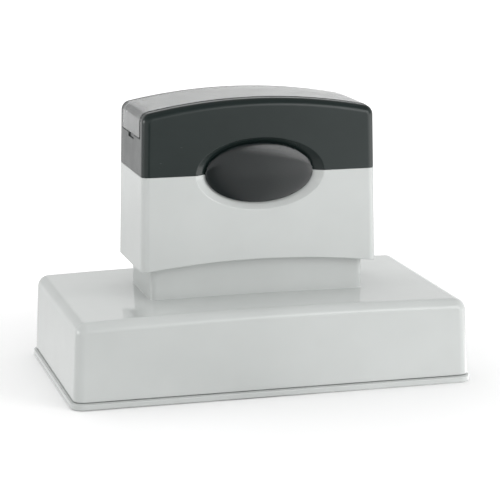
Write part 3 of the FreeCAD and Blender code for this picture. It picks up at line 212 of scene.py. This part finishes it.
def makeFloor(values):
    mesh = bpy.data.meshes.new("studioFloor")
    sheet = bmesh.new()
    bmesh.ops.create_grid(sheet, x_segments=1, y_segments=1, size=values["floorSize"] / 2)
    sheet.to_mesh(mesh)
    sheet.free()
    floor = bpy.data.objects.new("studioFloor", mesh)
    bpy.context.scene.collection.objects.link(floor)
    white = bpy.data.materials.new("floorWhite")
    white.use_nodes = True
    tree = white.node_tree
    tree.nodes.clear()
    place = addNode(tree, "ShaderNodeTexCoord").outputs["Object"]
    parts = addNode(tree, "ShaderNodeSeparateXYZ", {0: place}).outputs
    away = addNode(tree, "ShaderNodeVectorMath", {0: place}, operation="LENGTH").outputs["Value"]
    (near, nearGlow), (far, farGlow) = values["floorGlow"]
    glow = spread(tree, away, near, far, nearGlow, farGlow, smooth=True)
    (near, nearMirrored), (far, farMirrored) = values["floorMirrored"]
    mirrored = spread(tree, away, near, far, nearMirrored, farMirrored, smooth=True)
    mirrored = bySide(tree, parts, mirrored, values["mirroredSides"], values["sideCore"])
    matt = addNode(tree, "ShaderNodeBsdfDiffuse", {"Color": (*values["floorColour"], 1)})
    shine = addNode(tree, "ShaderNodeEmission", {"Strength": glow})
    seen = addNode(tree, "ShaderNodeAddShader", {0: matt.outputs[0], 1: shine.outputs[0]})
    mirror = addNode(tree, "ShaderNodeEmission", {"Strength": mirrored})
    path = addNode(tree, "ShaderNodeLightPath").outputs
    direct = addNode(tree, "ShaderNodeMixShader",
                     {0: path["Is Camera Ray"], 1: matt.outputs[0], 2: seen.outputs[0]})
    rays = doMath(tree, "MAXIMUM", path["Is Glossy Ray"], path["Is Transmission Ray"])
    both = addNode(tree, "ShaderNodeMixShader",
                   {0: rays, 1: direct.outputs[0], 2: mirror.outputs[0]})
    addNode(tree, "ShaderNodeOutputMaterial", {"Surface": both.outputs[0]})
    mesh.materials.append(white)


def makeLamps(values):
    centre = Vector(values["lampAim"])
    for name, lamp in values["lamps"].items():
        out = aimAt(lamp["azimuth"], lamp["elevation"])
        light = bpy.data.lights.new(name, "AREA")
        light.shape = "RECTANGLE"
        light.size, light.size_y = lamp["size"]
        light.energy = lamp["power"]
        holder = bpy.data.objects.new(name, light)
        holder.visible_glossy = lamp.get("mirrored", False)
        holder.visible_transmission = lamp.get("through", False)
        holder.visible_camera = False
        holder.matrix_world = (Matrix.Translation(centre + lamp["distance"] * out)
                               @ (-out).to_track_quat("-Z", "Y").to_matrix().to_4x4())
        bpy.context.scene.collection.objects.link(holder)


def makeStudio(values):
    makeSky(values)
    makeFloor(values)
    makeLamps(values)
    bpy.context.scene.view_settings.view_transform = "Standard"


# Shared effects, each a node group. A pair named "...Noise" is a noise's detail and roughness,
# one named "...Range" gives the levels that become 0 and 1

def newGroup(name, inputs, outputs):
    tree = bpy.data.node_groups.new(name, "ShaderNodeTree")
    for label, value in inputs.items():
        socket = tree.interface.new_socket(name=label, in_out="INPUT",
                                           socket_type="NodeSocketFloat")
        socket.default_value = value
    for label in outputs:
        tree.interface.new_socket(name=label, in_out="OUTPUT", socket_type="NodeSocketFloat")
    return tree, tree.nodes.new("NodeGroupInput").outputs, tree.nodes.new("NodeGroupOutput")


def closeGroup(tree, end, results):
    for label, value in results.items():
        tree.links.new(value, end.inputs[label])
    return tree


def noise(tree, place, scale, detail=2.0, rough=0.5):
    return addNode(tree, "ShaderNodeTexNoise",
                   {"Vector": place, "Scale": scale, "Detail": detail,
                    "Roughness": rough}).outputs["Fac"]


mouldSkin = {
    "grainNoise": (2.0, 0.6),
    "waveNoise": (0.5, 0.4),
    "toneNoise": (3.0, 0.55),
    "toneScale": 0.7,            # against the wave's
    "toneRange": (0.32, 0.68),
    "polishNoise": (4.0, 0.6),
    "polishScale": 2.3,
    "polishRange": (0.35, 0.65),
}


def makeMouldSkin(values):
    # Moulded plastic: fine grain and a slow sink wave in metres, a tone and a polish mask
    tree, given, end = newGroup("mouldSkin",
                                {"Grain Size": 0.0004, "Grain Depth": 0.000001,
                                 "Wave Size": 0.02, "Wave Depth": 0.00001},
                                ("Height", "Tone", "Polish"))
    place = addNode(tree, "ShaderNodeTexCoord").outputs["Object"]
    grainScale = doMath(tree, "DIVIDE", 1.0, given["Grain Size"])
    waveScale = doMath(tree, "DIVIDE", 1.0, given["Wave Size"])
    grain = noise(tree, place, grainScale, *values["grainNoise"])
    wave = noise(tree, place, waveScale, *values["waveNoise"])
    height = doMath(tree, "ADD", doMath(tree, "MULTIPLY", grain, given["Grain Depth"]),
                    doMath(tree, "MULTIPLY", wave, given["Wave Depth"]))
    tone = noise(tree, place, doMath(tree, "MULTIPLY", waveScale, values["toneScale"]),
                 *values["toneNoise"])
    polish = noise(tree, place, doMath(tree, "MULTIPLY", waveScale, values["polishScale"]),
                   *values["polishNoise"])
    return closeGroup(tree, end, {"Height": height,
                                  "Tone": spread(tree, tone, *values["toneRange"]),
                                  "Polish": spread(tree, polish, *values["polishRange"])})


handlingMarks = {
    "scuffTurn": (0.35, 0.6, 0.5),
    "scuffStretch": (1.0, 14.0, 3.0),
    "scuffNoise": (3.0, 0.65),
    "scuffRange": (0.66, 0.72),
    "patchScale": 0.2,           # of the places with scuffs, against a mark's
    "patchRange": (0.52, 0.66),
    "speckRange": (0.05, 0.11),
    "facingRange": (0.6, 0.95),  # how far up a face looks that holds dust
    "thinScale": 1.7,
    "thinDetail": 1.0,
    "thinRange": (0.6, 0.75),
}


def makeHandlingMarks(values):
    # Faint hairline scuffs in patches, and dust specks that lie on upward faces
    tree, given, end = newGroup("handlingMarks", {"Mark Size": 0.004, "Speck Size": 0.0012},
                                ("Scuff", "Dust"))
    place = addNode(tree, "ShaderNodeTexCoord").outputs["Object"]
    markScale = doMath(tree, "DIVIDE", 1.0, given["Mark Size"])
    long = addNode(tree, "ShaderNodeMapping", {"Vector": place, "Rotation": values["scuffTurn"],
                                              "Scale": values["scuffStretch"]}).outputs[0]
    lines = spread(tree, noise(tree, long, markScale, *values["scuffNoise"]), *values["scuffRange"])
    patchScale = doMath(tree, "MULTIPLY", markScale, values["patchScale"])
    patch = spread(tree, noise(tree, place, patchScale), *values["patchRange"])
    scuff = doMath(tree, "MULTIPLY", lines, patch)
    cells = addNode(tree, "ShaderNodeTexVoronoi",
                    {"Vector": place, "Scale": doMath(tree, "DIVIDE", 1.0, given["Speck Size"])})
    speck = spread(tree, cells.outputs["Distance"], *values["speckRange"], 1.0, 0.0)
    facing = addNode(tree, "ShaderNodeSeparateXYZ",
                     {0: addNode(tree, "ShaderNodeNewGeometry").outputs["Normal"]}).outputs["Z"]
    lie = spread(tree, facing, *values["facingRange"])
    thinScale = doMath(tree, "MULTIPLY", markScale, values["thinScale"])
    thin = spread(tree, noise(tree, place, thinScale, values["thinDetail"]), *values["thinRange"])
    dust = doMath(tree, "MULTIPLY", doMath(tree, "MULTIPLY", speck, lie), thin)
    return closeGroup(tree, end, {"Scuff": scuff, "Dust": dust})


edgeRub = {"edgeRange": (0.52, 0.60), "patchDetail": 3.0, "patchRange": (0.35, 0.65),
           "patchShares": (0.35, 1.0)}


def makeEdgeRubAndHighlight(values):
    # Edges that stick out are lighter: hands polish them, and the lighter edge is also a painted
    # highlight
    tree, given, end = newGroup("edgeRub", {"Patch Size": 0.006}, ("Rub",))
    place = addNode(tree, "ShaderNodeTexCoord").outputs["Object"]
    point = addNode(tree, "ShaderNodeNewGeometry").outputs["Pointiness"]
    edge = spread(tree, point, *values["edgeRange"])
    scale = doMath(tree, "DIVIDE", 1.0, given["Patch Size"])
    patch = spread(tree, noise(tree, place, scale, values["patchDetail"]),
                   *values["patchRange"], *values["patchShares"])
    return closeGroup(tree, end, {"Rub": doMath(tree, "MULTIPLY", edge, patch)})


openCells = {"bendScale": 0.5, "wallRange": (0.1, 0.55)}


def makeOpenCells(values):
    # Foam and porous rubber: cells of a given size as height and as a mask
    tree, given, end = newGroup("openCells", {"Cell Size": 0.0006, "Cell Depth": 0.0001},
                                ("Height", "Cells"))
    place = addNode(tree, "ShaderNodeTexCoord").outputs["Object"]
    scale = doMath(tree, "DIVIDE", 1.0, given["Cell Size"])
    bend = noise(tree, place, doMath(tree, "MULTIPLY", scale, values["bendScale"]))
    shift = addNode(tree, "ShaderNodeVectorMath",
                    {0: place, 1: addNode(tree, "ShaderNodeCombineXYZ", {
                        "X": doMath(tree, "MULTIPLY", bend, given["Cell Size"])}).outputs[0]},
                    operation="ADD").outputs[0]
    cells = addNode(tree, "ShaderNodeTexVoronoi", {"Vector": shift, "Scale": scale})
    wall = spread(tree, cells.outputs["Distance"], *values["wallRange"])
    return closeGroup(tree, end, {"Height": doMath(tree, "MULTIPLY", wall, given["Cell Depth"]),
                                  "Cells": wall})


drawnMetal = {"stretch": (0.15, 0.15, 1.0), "cloudScale": 0.12, "cloudDetail": 4.0,
              "cloudRange": (0.3, 0.7)}


def makeDrawnMetal(values):
    # Fine streaks along the wire or round the screw, and a cloudy plating tone
    tree, given, end = newGroup("drawnMetal", {"Streak Size": 0.0002, "Streak Depth": 0.000002},
                                ("Height", "Plating"))
    place = addNode(tree, "ShaderNodeTexCoord").outputs["Object"]
    scale = doMath(tree, "DIVIDE", 1.0, given["Streak Size"])
    long = addNode(tree, "ShaderNodeMapping",
                   {"Vector": place, "Scale": values["stretch"]}).outputs[0]
    streak = noise(tree, long, scale)
    cloud = noise(tree, place, doMath(tree, "MULTIPLY", scale, values["cloudScale"]),
                  values["cloudDetail"])
    return closeGroup(tree, end, {"Height": doMath(tree, "MULTIPLY", streak, given["Streak Depth"]),
                                  "Plating": spread(tree, cloud, *values["cloudRange"])})


pressedFibre = {"stretch": (0.3, 1.0, 1.0), "fibreNoise": (4.0, 0.7), "cloudScale": 0.2,
                "cloudDetail": 3.0, "cloudRange": (0.3, 0.7)}


def makePressedFibre(values):
    # Card: short fibres and a slightly cloudy sheet
    tree, given, end = newGroup("pressedFibre", {"Fibre Size": 0.0008, "Fibre Depth": 0.00001},
                                ("Height", "Cloud"))
    place = addNode(tree, "ShaderNodeTexCoord").outputs["Object"]
    scale = doMath(tree, "DIVIDE", 1.0, given["Fibre Size"])
    across = addNode(tree, "ShaderNodeMapping",
                     {"Vector": place, "Scale": values["stretch"]}).outputs[0]
    fibre = noise(tree, across, scale, *values["fibreNoise"])
    cloud = noise(tree, place, doMath(tree, "MULTIPLY", scale, values["cloudScale"]),
                  values["cloudDetail"])
    return closeGroup(tree, end, {"Height": doMath(tree, "MULTIPLY", fibre, given["Fibre Depth"]),
                                  "Cloud": spread(tree, cloud, *values["cloudRange"])})


# Finishes, one for each slot of the record

finishes = {
    "cover_plastic": {"kind": "plastic", "colour": (0.56, 0.58, 0.57), "deep": (0.52, 0.54, 0.53),
                      "rough": 0.22, "grain": 0.4e-6, "wave": 0.6e-5, "ior": 1.5},
    "body_plastic": {"kind": "plastic", "colour": (0.56, 0.58, 0.57), "deep": (0.53, 0.55, 0.54),
                     "rough": 0.08, "grain": 0.3e-6, "wave": 1.2e-5, "ior": 1.5},
    "handle_plastic": {"kind": "plastic", "colour": (0.56, 0.58, 0.57), "deep": (0.53, 0.55, 0.54),
                       "rough": 0.16, "grain": 0.5e-6, "wave": 1.2e-5, "ior": 1.5},
    "cap_plastic": {"kind": "plastic", "colour": (0.011, 0.018, 0.017),
                    "deep": (0.008, 0.014, 0.013),
                    "rough": 0.24, "grain": 0.3e-6, "wave": 1.0e-5, "ior": 1.42},
    "window_plastic": {"kind": "clear", "colour": (0.93, 0.95, 0.95), "deep": (0.88, 0.91, 0.91),
                       "rough": 0.20, "grain": 0.4e-6, "wave": 0.8e-5, "ior": 1.49, "clear": 1.0},
    "badge_resin": {"kind": "clear", "colour": (0.98, 0.98, 0.98), "deep": (0.94, 0.95, 0.95),
                    "rough": 0.04, "grain": 0.0, "wave": 0.0, "ior": 1.52, "clear": 1.0},
    # The plate's low index keeps it dark under the resin that is bonded to it
    "badge_plastic": {"kind": "plastic", "colour": (0.009, 0.016, 0.017),
                      "deep": (0.008, 0.014, 0.015),
                      "rough": 0.6, "grain": 0.1e-6, "wave": 0.0, "ior": 1.1},
    "inner_plastic": {"kind": "plastic", "colour": (0.060, 0.062, 0.065),
                      "deep": (0.045, 0.047, 0.050),
                      "rough": 0.42, "grain": 1.5e-6, "wave": 1.0e-5, "ior": 1.5},
    "frame_plastic": {"kind": "plastic", "colour": (0.085, 0.088, 0.092),
                      "deep": (0.070, 0.073, 0.076),
                      "rough": 0.38, "grain": 1.5e-6, "wave": 1.0e-5, "ior": 1.5},
    "tube_plastic": {"kind": "clear", "colour": (0.90, 0.92, 0.90), "deep": (0.82, 0.84, 0.82),
                     "rough": 0.25, "grain": 0.3e-6, "wave": 0.4e-5, "ior": 1.45, "clear": 0.6},
    "grommet_rubber": {"kind": "plastic", "colour": (0.022, 0.022, 0.023),
                       "deep": (0.016, 0.016, 0.017),
                       "rough": 0.62, "grain": 3.0e-6, "wave": 0.5e-5, "ior": 1.5},
    "card": {"kind": "card", "colour": (0.80, 0.80, 0.78), "deep": (0.74, 0.74, 0.72),
             "rough": 0.75},
    # In the foam and the die rubber, deep is the colour towards each cell's middle, where it dips:
    # painted shade in the pores
    "ink_foam": {"kind": "foam", "colour": (0.050, 0.052, 0.070), "deep": (0.010, 0.010, 0.018),
                 "rough": 0.85, "cell": 0.0009, "depth": 2.0e-4},
    "die_rubber": {"kind": "foam", "colour": (0.140, 0.140, 0.150), "deep": (0.070, 0.070, 0.076),
                   "rough": 0.70, "cell": 0.00025, "depth": 2.0e-5},
    "spring_wire": {"kind": "metal", "colour": (0.62, 0.62, 0.63), "deep": (0.50, 0.50, 0.52),
                    "rough": 0.26},
    "screw_steel": {"kind": "metal", "colour": (0.66, 0.66, 0.67), "deep": (0.56, 0.57, 0.60),
                    "rough": 0.30},
}

wearAndHighlight = {
    "dustColour": (0.62, 0.61, 0.58),
    "dustShare": 0.25,
    "polishRough": (0.875, 0.25),   # lowest roughness and its rise, against the finish's own
    "scuffRough": 0.04,
    "rubAndHighlightShare": 0.5,
    "rubAndHighlightTone": (1.12, 0.004),       # a rubbed edge's colour, which is also a painted edge highlight: times the first, plus the second
    "platingRough": (1.3, 0.85),
    "cellRough": (1.0, 1.15),
    "fibreRough": (1.0, 1.1),
}


def mixColour(tree, factor, low, high):
    # Inputs 6 and 7 are the mix node's two colours, output 2 is their mix
    item = addNode(tree, "ShaderNodeMix", {"Factor": factor}, data_type="RGBA")
    for index, colour in ((6, low), (7, high)):
        if isinstance(colour, bpy.types.NodeSocket):
            tree.links.new(colour, item.inputs[index])
        else:
            item.inputs[index].default_value = (*colour, 1)
    return item.outputs[2]


def placeGroup(tree, group, inputs=None):
    item = tree.nodes.new("ShaderNodeGroup")
    item.node_tree = group
    for name, value in (inputs or {}).items():
        item.inputs[name].default_value = value
    return item.outputs


def plasticLook(tree, shader, values, groups):
    # Moulded plastic and rubber, and clear pieces, whose edges show no rub and no painted highlight
    skin = placeGroup(tree, groups["mouldSkin"], {"Grain Depth": values["grain"],
                                                  "Wave Depth": values["wave"]})
    marks = placeGroup(tree, groups["handlingMarks"])
    colour = mixColour(tree, skin["Tone"], values["deep"], values["colour"])
    dusty = doMath(tree, "MULTIPLY", marks["Dust"], wearAndHighlight["dustShare"])
    colour = mixColour(tree, dusty, colour, wearAndHighlight["dustColour"])
    lowest, rise = [share * values["rough"] for share in wearAndHighlight["polishRough"]]
    roughness = doMath(tree, "ADD", doMath(tree, "MULTIPLY", skin["Polish"], rise), lowest)
    roughness = doMath(tree, "ADD", roughness,
                       doMath(tree, "MULTIPLY", marks["Scuff"], wearAndHighlight["scuffRough"]))
    if values["kind"] == "clear":
        shader.inputs["Transmission Weight"].default_value = values["clear"]
    else:
        # Convex edges are mixed towards a lighter colour: hand polish, and a painted highlight
        # along the edges
        rubAndHighlight = placeGroup(tree, groups["edgeRub"])
        factor, lift = wearAndHighlight["rubAndHighlightTone"]
        lighter = [min(1.0, factor * part + lift) for part in values["colour"]]
        colour = mixColour(tree, doMath(tree, "MULTIPLY", rubAndHighlight["Rub"], wearAndHighlight["rubAndHighlightShare"]),
                           colour, lighter)
    shader.inputs["IOR"].default_value = values["ior"]
    return colour, roughness, skin["Height"]


def maskedLook(tree, mask, values, shares):
    # Colour and roughness that go from one level to another with a mask
    low, high = [min(1.0, share * values["rough"]) for share in shares]
    colour = mixColour(tree, mask, values["deep"], values["colour"])
    return colour, spread(tree, mask, 0.0, 1.0, low, high)


def metalLook(tree, shader, values, groups):
    drawn = placeGroup(tree, groups["drawnMetal"])
    shader.inputs["Metallic"].default_value = 1.0
    return *maskedLook(tree, drawn["Plating"], values, wearAndHighlight["platingRough"]), drawn["Height"]


def foamLook(tree, shader, values, groups):
    # The cells' mask makes each cell darker towards its middle, where it dips: painted shade in the
    # pores
    cells = placeGroup(tree, groups["openCells"], {"Cell Size": values["cell"],
                                                   "Cell Depth": values["depth"]})
    return *maskedLook(tree, cells["Cells"], values, wearAndHighlight["cellRough"]), cells["Height"]


def cardLook(tree, shader, values, groups):
    fibre = placeGroup(tree, groups["pressedFibre"])
    return *maskedLook(tree, fibre["Cloud"], values, wearAndHighlight["fibreRough"]), fibre["Height"]


looks = {"plastic": plasticLook, "clear": plasticLook, "metal": metalLook, "foam": foamLook,
         "card": cardLook}


def makeFinish(name, values, groups):
    material = bpy.data.materials.new(name)
    material.use_nodes = True
    tree = material.node_tree
    shader = tree.nodes["Principled BSDF"]
    colour, roughness, height = looks[values["kind"]](tree, shader, values, groups)
    bump = addNode(tree, "ShaderNodeBump", {"Height": height, "Strength": 1.0, "Distance": 1.0})
    tree.links.new(colour, shader.inputs["Base Color"])
    tree.links.new(roughness, shader.inputs["Roughness"])
    tree.links.new(bump.outputs[0], shader.inputs["Normal"])
    return material


def makeFinishes():
    groups = {"mouldSkin": makeMouldSkin(mouldSkin),
              "handlingMarks": makeHandlingMarks(handlingMarks),
              "edgeRub": makeEdgeRubAndHighlight(edgeRub),
              "openCells": makeOpenCells(openCells),
              "drawnMetal": makeDrawnMetal(drawnMetal),
              "pressedFibre": makePressedFibre(pressedFibre)}
    return {name: makeFinish(name, values, groups) for name, values in finishes.items()}


# Moulded pieces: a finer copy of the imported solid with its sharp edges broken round

mouldedPieces = {
    "dust_cover": {"piece": "dustCover", "body": "cover", "edge": 0.0002, "segments": 3,
                   "rims": ((0.0, 0.0005), (0.0023, 0.0003))},   # level and radius
    "base_housing": {"piece": "baseHousing", "body": "base", "edge": 0.00022, "segments": 3,
                     "foot": (0.003, 0.00008)},   # edges under this level get this radius
    "plunger": {"piece": "plungerStem", "body": "handle", "edge": 0.0002, "segments": 2},
    "die_carrier": {"piece": "dieCarrier", "body": "handle", "edge": 0.0002, "segments": 2},
    "die_frame": {"piece": "dieFrame", "body": "handle", "edge": 0.0002, "segments": 2},
    "handle_shell": {"piece": "handleShell", "body": "handle", "edge": 0.00022, "segments": 3},
    "handle_cap": {"piece": "handleCap", "body": "handle", "edge": 0.00018, "segments": 3},
    "index_window": {"piece": "indexWindow", "body": "window", "edge": 0.00012, "segments": 3},
}

edgeWork = {
    "weld": 0.000002,
    "flatAngle": 0.1,             # degrees, under which the solid's triangles become one face
    "sharpAngle": 28,             # degrees, above which an edge is broken
    "rimHeight": 0.00005,         # how far from its level an edge of the rim may be,
    "rimDepth": (0.004, 0.0005),  # and how far from the outline in X and in Y
    "footSegments": 2,
    "rimSegments": 4,
    "shadeWeight": 60,
}


def newPiece(name, work, body, material, stands, keepSharp=False):
    mesh = bpy.data.meshes.new(name)
    for face in work.faces:
        face.smooth = True
    work.to_mesh(mesh)
    work.free()
    for layer in ("custom_normal", "sharp_face", "sharp_edge"):
        if layer in mesh.attributes and not (keepSharp and layer == "sharp_edge"):
            mesh.attributes.remove(mesh.attributes[layer])
    mesh.materials.clear()
    mesh.materials.append(material)
    piece = bpy.data.objects.new(name, mesh)
    bpy.context.scene.collection.objects.link(piece)
    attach(piece, body)
    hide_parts(stands)
    return piece


def evenShade(piece):
    shade = piece.modifiers.new("evenShade", "WEIGHTED_NORMAL")
    shade.mode = "FACE_AREA"
    shade.weight = edgeWork["shadeWeight"]
    shade.keep_sharp = False


def sharpEdges(work):
    limit = math.radians(edgeWork["sharpAngle"])
    return [edge for edge in work.edges if edge.is_manifold and edge.calc_face_angle() > limit]


def onRim(edge, level):
    # An edge of the cover's outer outline at one level
    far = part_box("dust_cover")[1]
    depthX, depthY = edgeWork["rimDepth"]
    return all(abs(end.co.z - level) < edgeWork["rimHeight"]
               and (abs(end.co.x) > far[0] - depthX or abs(end.co.y) > far[1] - depthY)
               for end in edge.verts)


def roundEdges(work, radius, segments, edges):
    bmesh.ops.bevel(work, geom=edges, offset=radius, offset_type="OFFSET", affect="EDGES",
                    segments=segments, profile=0.5, material=-1, clamp_overlap=False,
                    miter_outer="ARC")


def makeMoulded(node, values, materials, slots):
    work = bmesh.new()
    work.from_mesh(nodes[node].data)
    bmesh.ops.remove_doubles(work, verts=work.verts, dist=edgeWork["weld"])
    bmesh.ops.dissolve_limit(work, angle_limit=math.radians(edgeWork["flatAngle"]),
                             verts=work.verts, edges=work.edges)
    rims = values.get("rims", ())
    foot, footRadius = values.get("foot", (-1.0, 0.0))   # without a foot no edge lies under it
    low = [edge for edge in sharpEdges(work) if min(end.co.z for end in edge.verts) < foot]
    if low:
        roundEdges(work, footRadius, edgeWork["footSegments"], low)
    roundEdges(work, values["edge"], values["segments"],
               [edge for edge in sharpEdges(work) if min(end.co.z for end in edge.verts) >= foot
                and not any(onRim(edge, level) for level, radius in rims)])
    for level, radius in rims:
        roundEdges(work, radius, edgeWork["rimSegments"],
                   [edge for edge in sharpEdges(work) if onRim(edge, level)])
    piece = newPiece(values["piece"], work, values["body"], materials[slots[node]],
                     node)
    evenShade(piece)
    return piece


# Return springs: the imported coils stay, because they squash, and get a rounder wire

springs = {"nodes": ("return_spring_left", "return_spring_right"), "weld": 0.000002, "levels": 1}


def roundSprings(values):
    for name in values["nodes"]:
        coil = nodes[name]
        weld = coil.modifiers.new("weldWire", "WELD")
        weld.merge_threshold = values["weld"]
        smooth = coil.modifiers.new("roundWire", "SUBSURF")
        smooth.levels = smooth.render_levels = values["levels"]


# Screws: rings from the head to the point, each a level and a radius, and a cross recess

screws = {
    "foot_screws": {"piece": "footScrews", "places": ((-0.019, 0.0), (0.019, 0.0)),
                    "rings": ((0.0188, 0.0027), (0.0200, 0.0015), (0.0237, 0.0015),
                              (0.0242, 0.0010))},
    "head_screws": {"piece": "headScrews", "places": ((0.0, -0.0043), (0.0, 0.0043)),
                    "rings": ((0.0642, 0.0018), (0.0639, 0.0024), (0.0634, 0.0027),
                              (0.0625, 0.0027), (0.0625, 0.0015), (0.0540, 0.0015),
                              (0.0535, 0.0010))},
}

screwForm = {
    "around": 48,
    "edge": 0.00006,
    "edgeSegments": 2,
    "cross": {"reach": 0.0014, "arm": 0.00034, "depth": 0.0007, "narrow": 0.7},
}


def makeScrew(work, place, rings, around):
    # One circle for each ring, bridged one after another
    loops = []
    for level, radius in rings:
        made = bmesh.ops.create_circle(work, cap_ends=False, segments=around, radius=radius,
                                       matrix=Matrix.Translation((*place, level)))
        loops.append(list(dict.fromkeys(edge for vert in made["verts"]
                                        for edge in vert.link_edges)))   # each once, in order
    for first, second in zip(loops, loops[1:]):
        bmesh.ops.bridge_loops(work, edges=first + second)
    for loop in (loops[0], loops[-1]):
        bmesh.ops.edgeloop_fill(work, edges=loop)


def addCross(tool, place, top, way, cross):
    # A cross-shaped plug that starts outside the head and narrows into it
    reach, arm = cross["reach"], cross["arm"]
    corners = ((arm, arm), (arm, reach), (-arm, reach),
               (-arm, arm), (-reach, arm), (-reach, -arm),
               (-arm, -arm), (-arm, -reach), (arm, -reach),
               (arm, -arm), (reach, -arm), (reach, arm))
    depth = way * cross["depth"]
    narrow = cross["narrow"]
    lid = [tool.verts.new((place[0] + x, place[1] + y, top - depth)) for x, y in corners]
    floor = [tool.verts.new((place[0] + narrow * x, place[1] + narrow * y, top + depth))
             for x, y in corners]
    tool.faces.new(lid)
    tool.faces.new(floor[::-1])
    for index in range(len(corners)):
        after = (index + 1) % len(corners)
        tool.faces.new((lid[index], lid[after], floor[after], floor[index]))


def toHolder(name, work):
    bmesh.ops.recalc_face_normals(work, faces=work.faces)
    mesh = bpy.data.meshes.new(name)
    work.to_mesh(mesh)
    work.free()
    holder = bpy.data.objects.new(name, mesh)
    bpy.context.scene.collection.objects.link(holder)
    return holder


def makeScrews(node, values, form, materials, slots):
    work = bmesh.new()
    tool = bmesh.new()
    top = values["rings"][0][0]
    way = 1 if values["rings"][-1][0] > top else -1   # up or down into the head
    for place in values["places"]:
        makeScrew(work, place, values["rings"], form["around"])
        addCross(tool, place, top, way, form["cross"])
    blank = toHolder("screwBlank", work)
    plug = toHolder("crossPlug", tool)
    cut = blank.modifiers.new("crossCut", "BOOLEAN")
    cut.operation = "DIFFERENCE"
    cut.solver = "EXACT"
    cut.object = plug
    ready = blank.evaluated_get(bpy.context.evaluated_depsgraph_get())
    made = bmesh.new()
    made.from_mesh(ready.to_mesh())
    ready.to_mesh_clear()
    for holder in (blank, plug):
        bpy.data.meshes.remove(holder.data)   # takes its object with it
    roundEdges(made, form["edge"], form["edgeSegments"], sharpEdges(made))
    piece = newPiece(values["piece"], made, "handle", materials[slots[node]], node)
    evenShade(piece)
    return piece


# Badge lens: clear resin, domed over the bare plate, its back sunk a little into the plate

badgeLens = {"halfWidth": 0.0178, "halfHeight": 0.0096, "centreZ": 0.0686,
             "back": -0.0165, "front": -0.01785, "rim": 0.00015, "around": 128, "rings": 48,
             "weld": 0.000001}


def makeLens(values, materials):
    # Half a ball, flattened to the dome, with a low wall and a flat back
    work = bmesh.new()
    dome = values["back"] - values["front"] - values["rim"]
    bmesh.ops.create_uvsphere(work, u_segments=values["around"], v_segments=values["rings"],
                              radius=1.0)
    bmesh.ops.rotate(work, verts=work.verts, matrix=Matrix.Rotation(math.pi / 2, 3, "X"))
    cut = bmesh.ops.bisect_plane(work, geom=work.verts[:] + work.edges[:] + work.faces[:],
                                 plane_co=(0, 0, 0), plane_no=(0, 1, 0), clear_outer=True)
    ring = [item for item in cut["geom_cut"] if isinstance(item, bmesh.types.BMEdge)]
    bmesh.ops.scale(work, verts=work.verts, vec=(values["halfWidth"], dome, values["halfHeight"]))
    bmesh.ops.translate(work, verts=work.verts,
                        vec=(0, values["back"] - values["rim"], values["centreZ"]))
    wall = bmesh.ops.extrude_edge_only(work, edges=ring)["geom"]
    moved = [item for item in wall if isinstance(item, bmesh.types.BMVert)]
    bmesh.ops.translate(work, verts=moved, vec=(0, values["rim"], 0))
    bmesh.ops.remove_doubles(work, verts=work.verts, dist=values["weld"])
    bmesh.ops.edgenet_fill(work, edges=[edge for edge in work.edges if edge.is_boundary])
    bmesh.ops.recalc_face_normals(work, faces=work.faces)
    for edge in sharpEdges(work):
        edge.smooth = False
    return newPiece("badgeLens", work, "handle", materials["badge_resin"],
                    "badge_lens", keepSharp=True)


def dressNodes(materials, slots):
    for node, slot in slots.items():
        for holder in nodes[node].material_slots:
            holder.material = materials[slot]


makeCamera(cameraFit)
makeStudio(studio)
print("camera and studio made")
materials = makeFinishes()
slots = {part["node"]: part["material_slot"] for part in frame["record"]["subparts"]}
dressNodes(materials, slots)
print("finishes made:", len(materials))
for node, values in mouldedPieces.items():
    piece = makeMoulded(node, values, materials, slots)
    print("moulded piece", piece.name, len(piece.data.polygons), "faces")
roundSprings(springs)
print("springs rounded")
for node, values in screws.items():
    piece = makeScrews(node, values, screwForm, materials, slots)
    print("screws", piece.name, len(piece.data.polygons), "faces")
lens = makeLens(badgeLens, materials)
print("badge lens made,", len(lens.data.polygons), "faces")
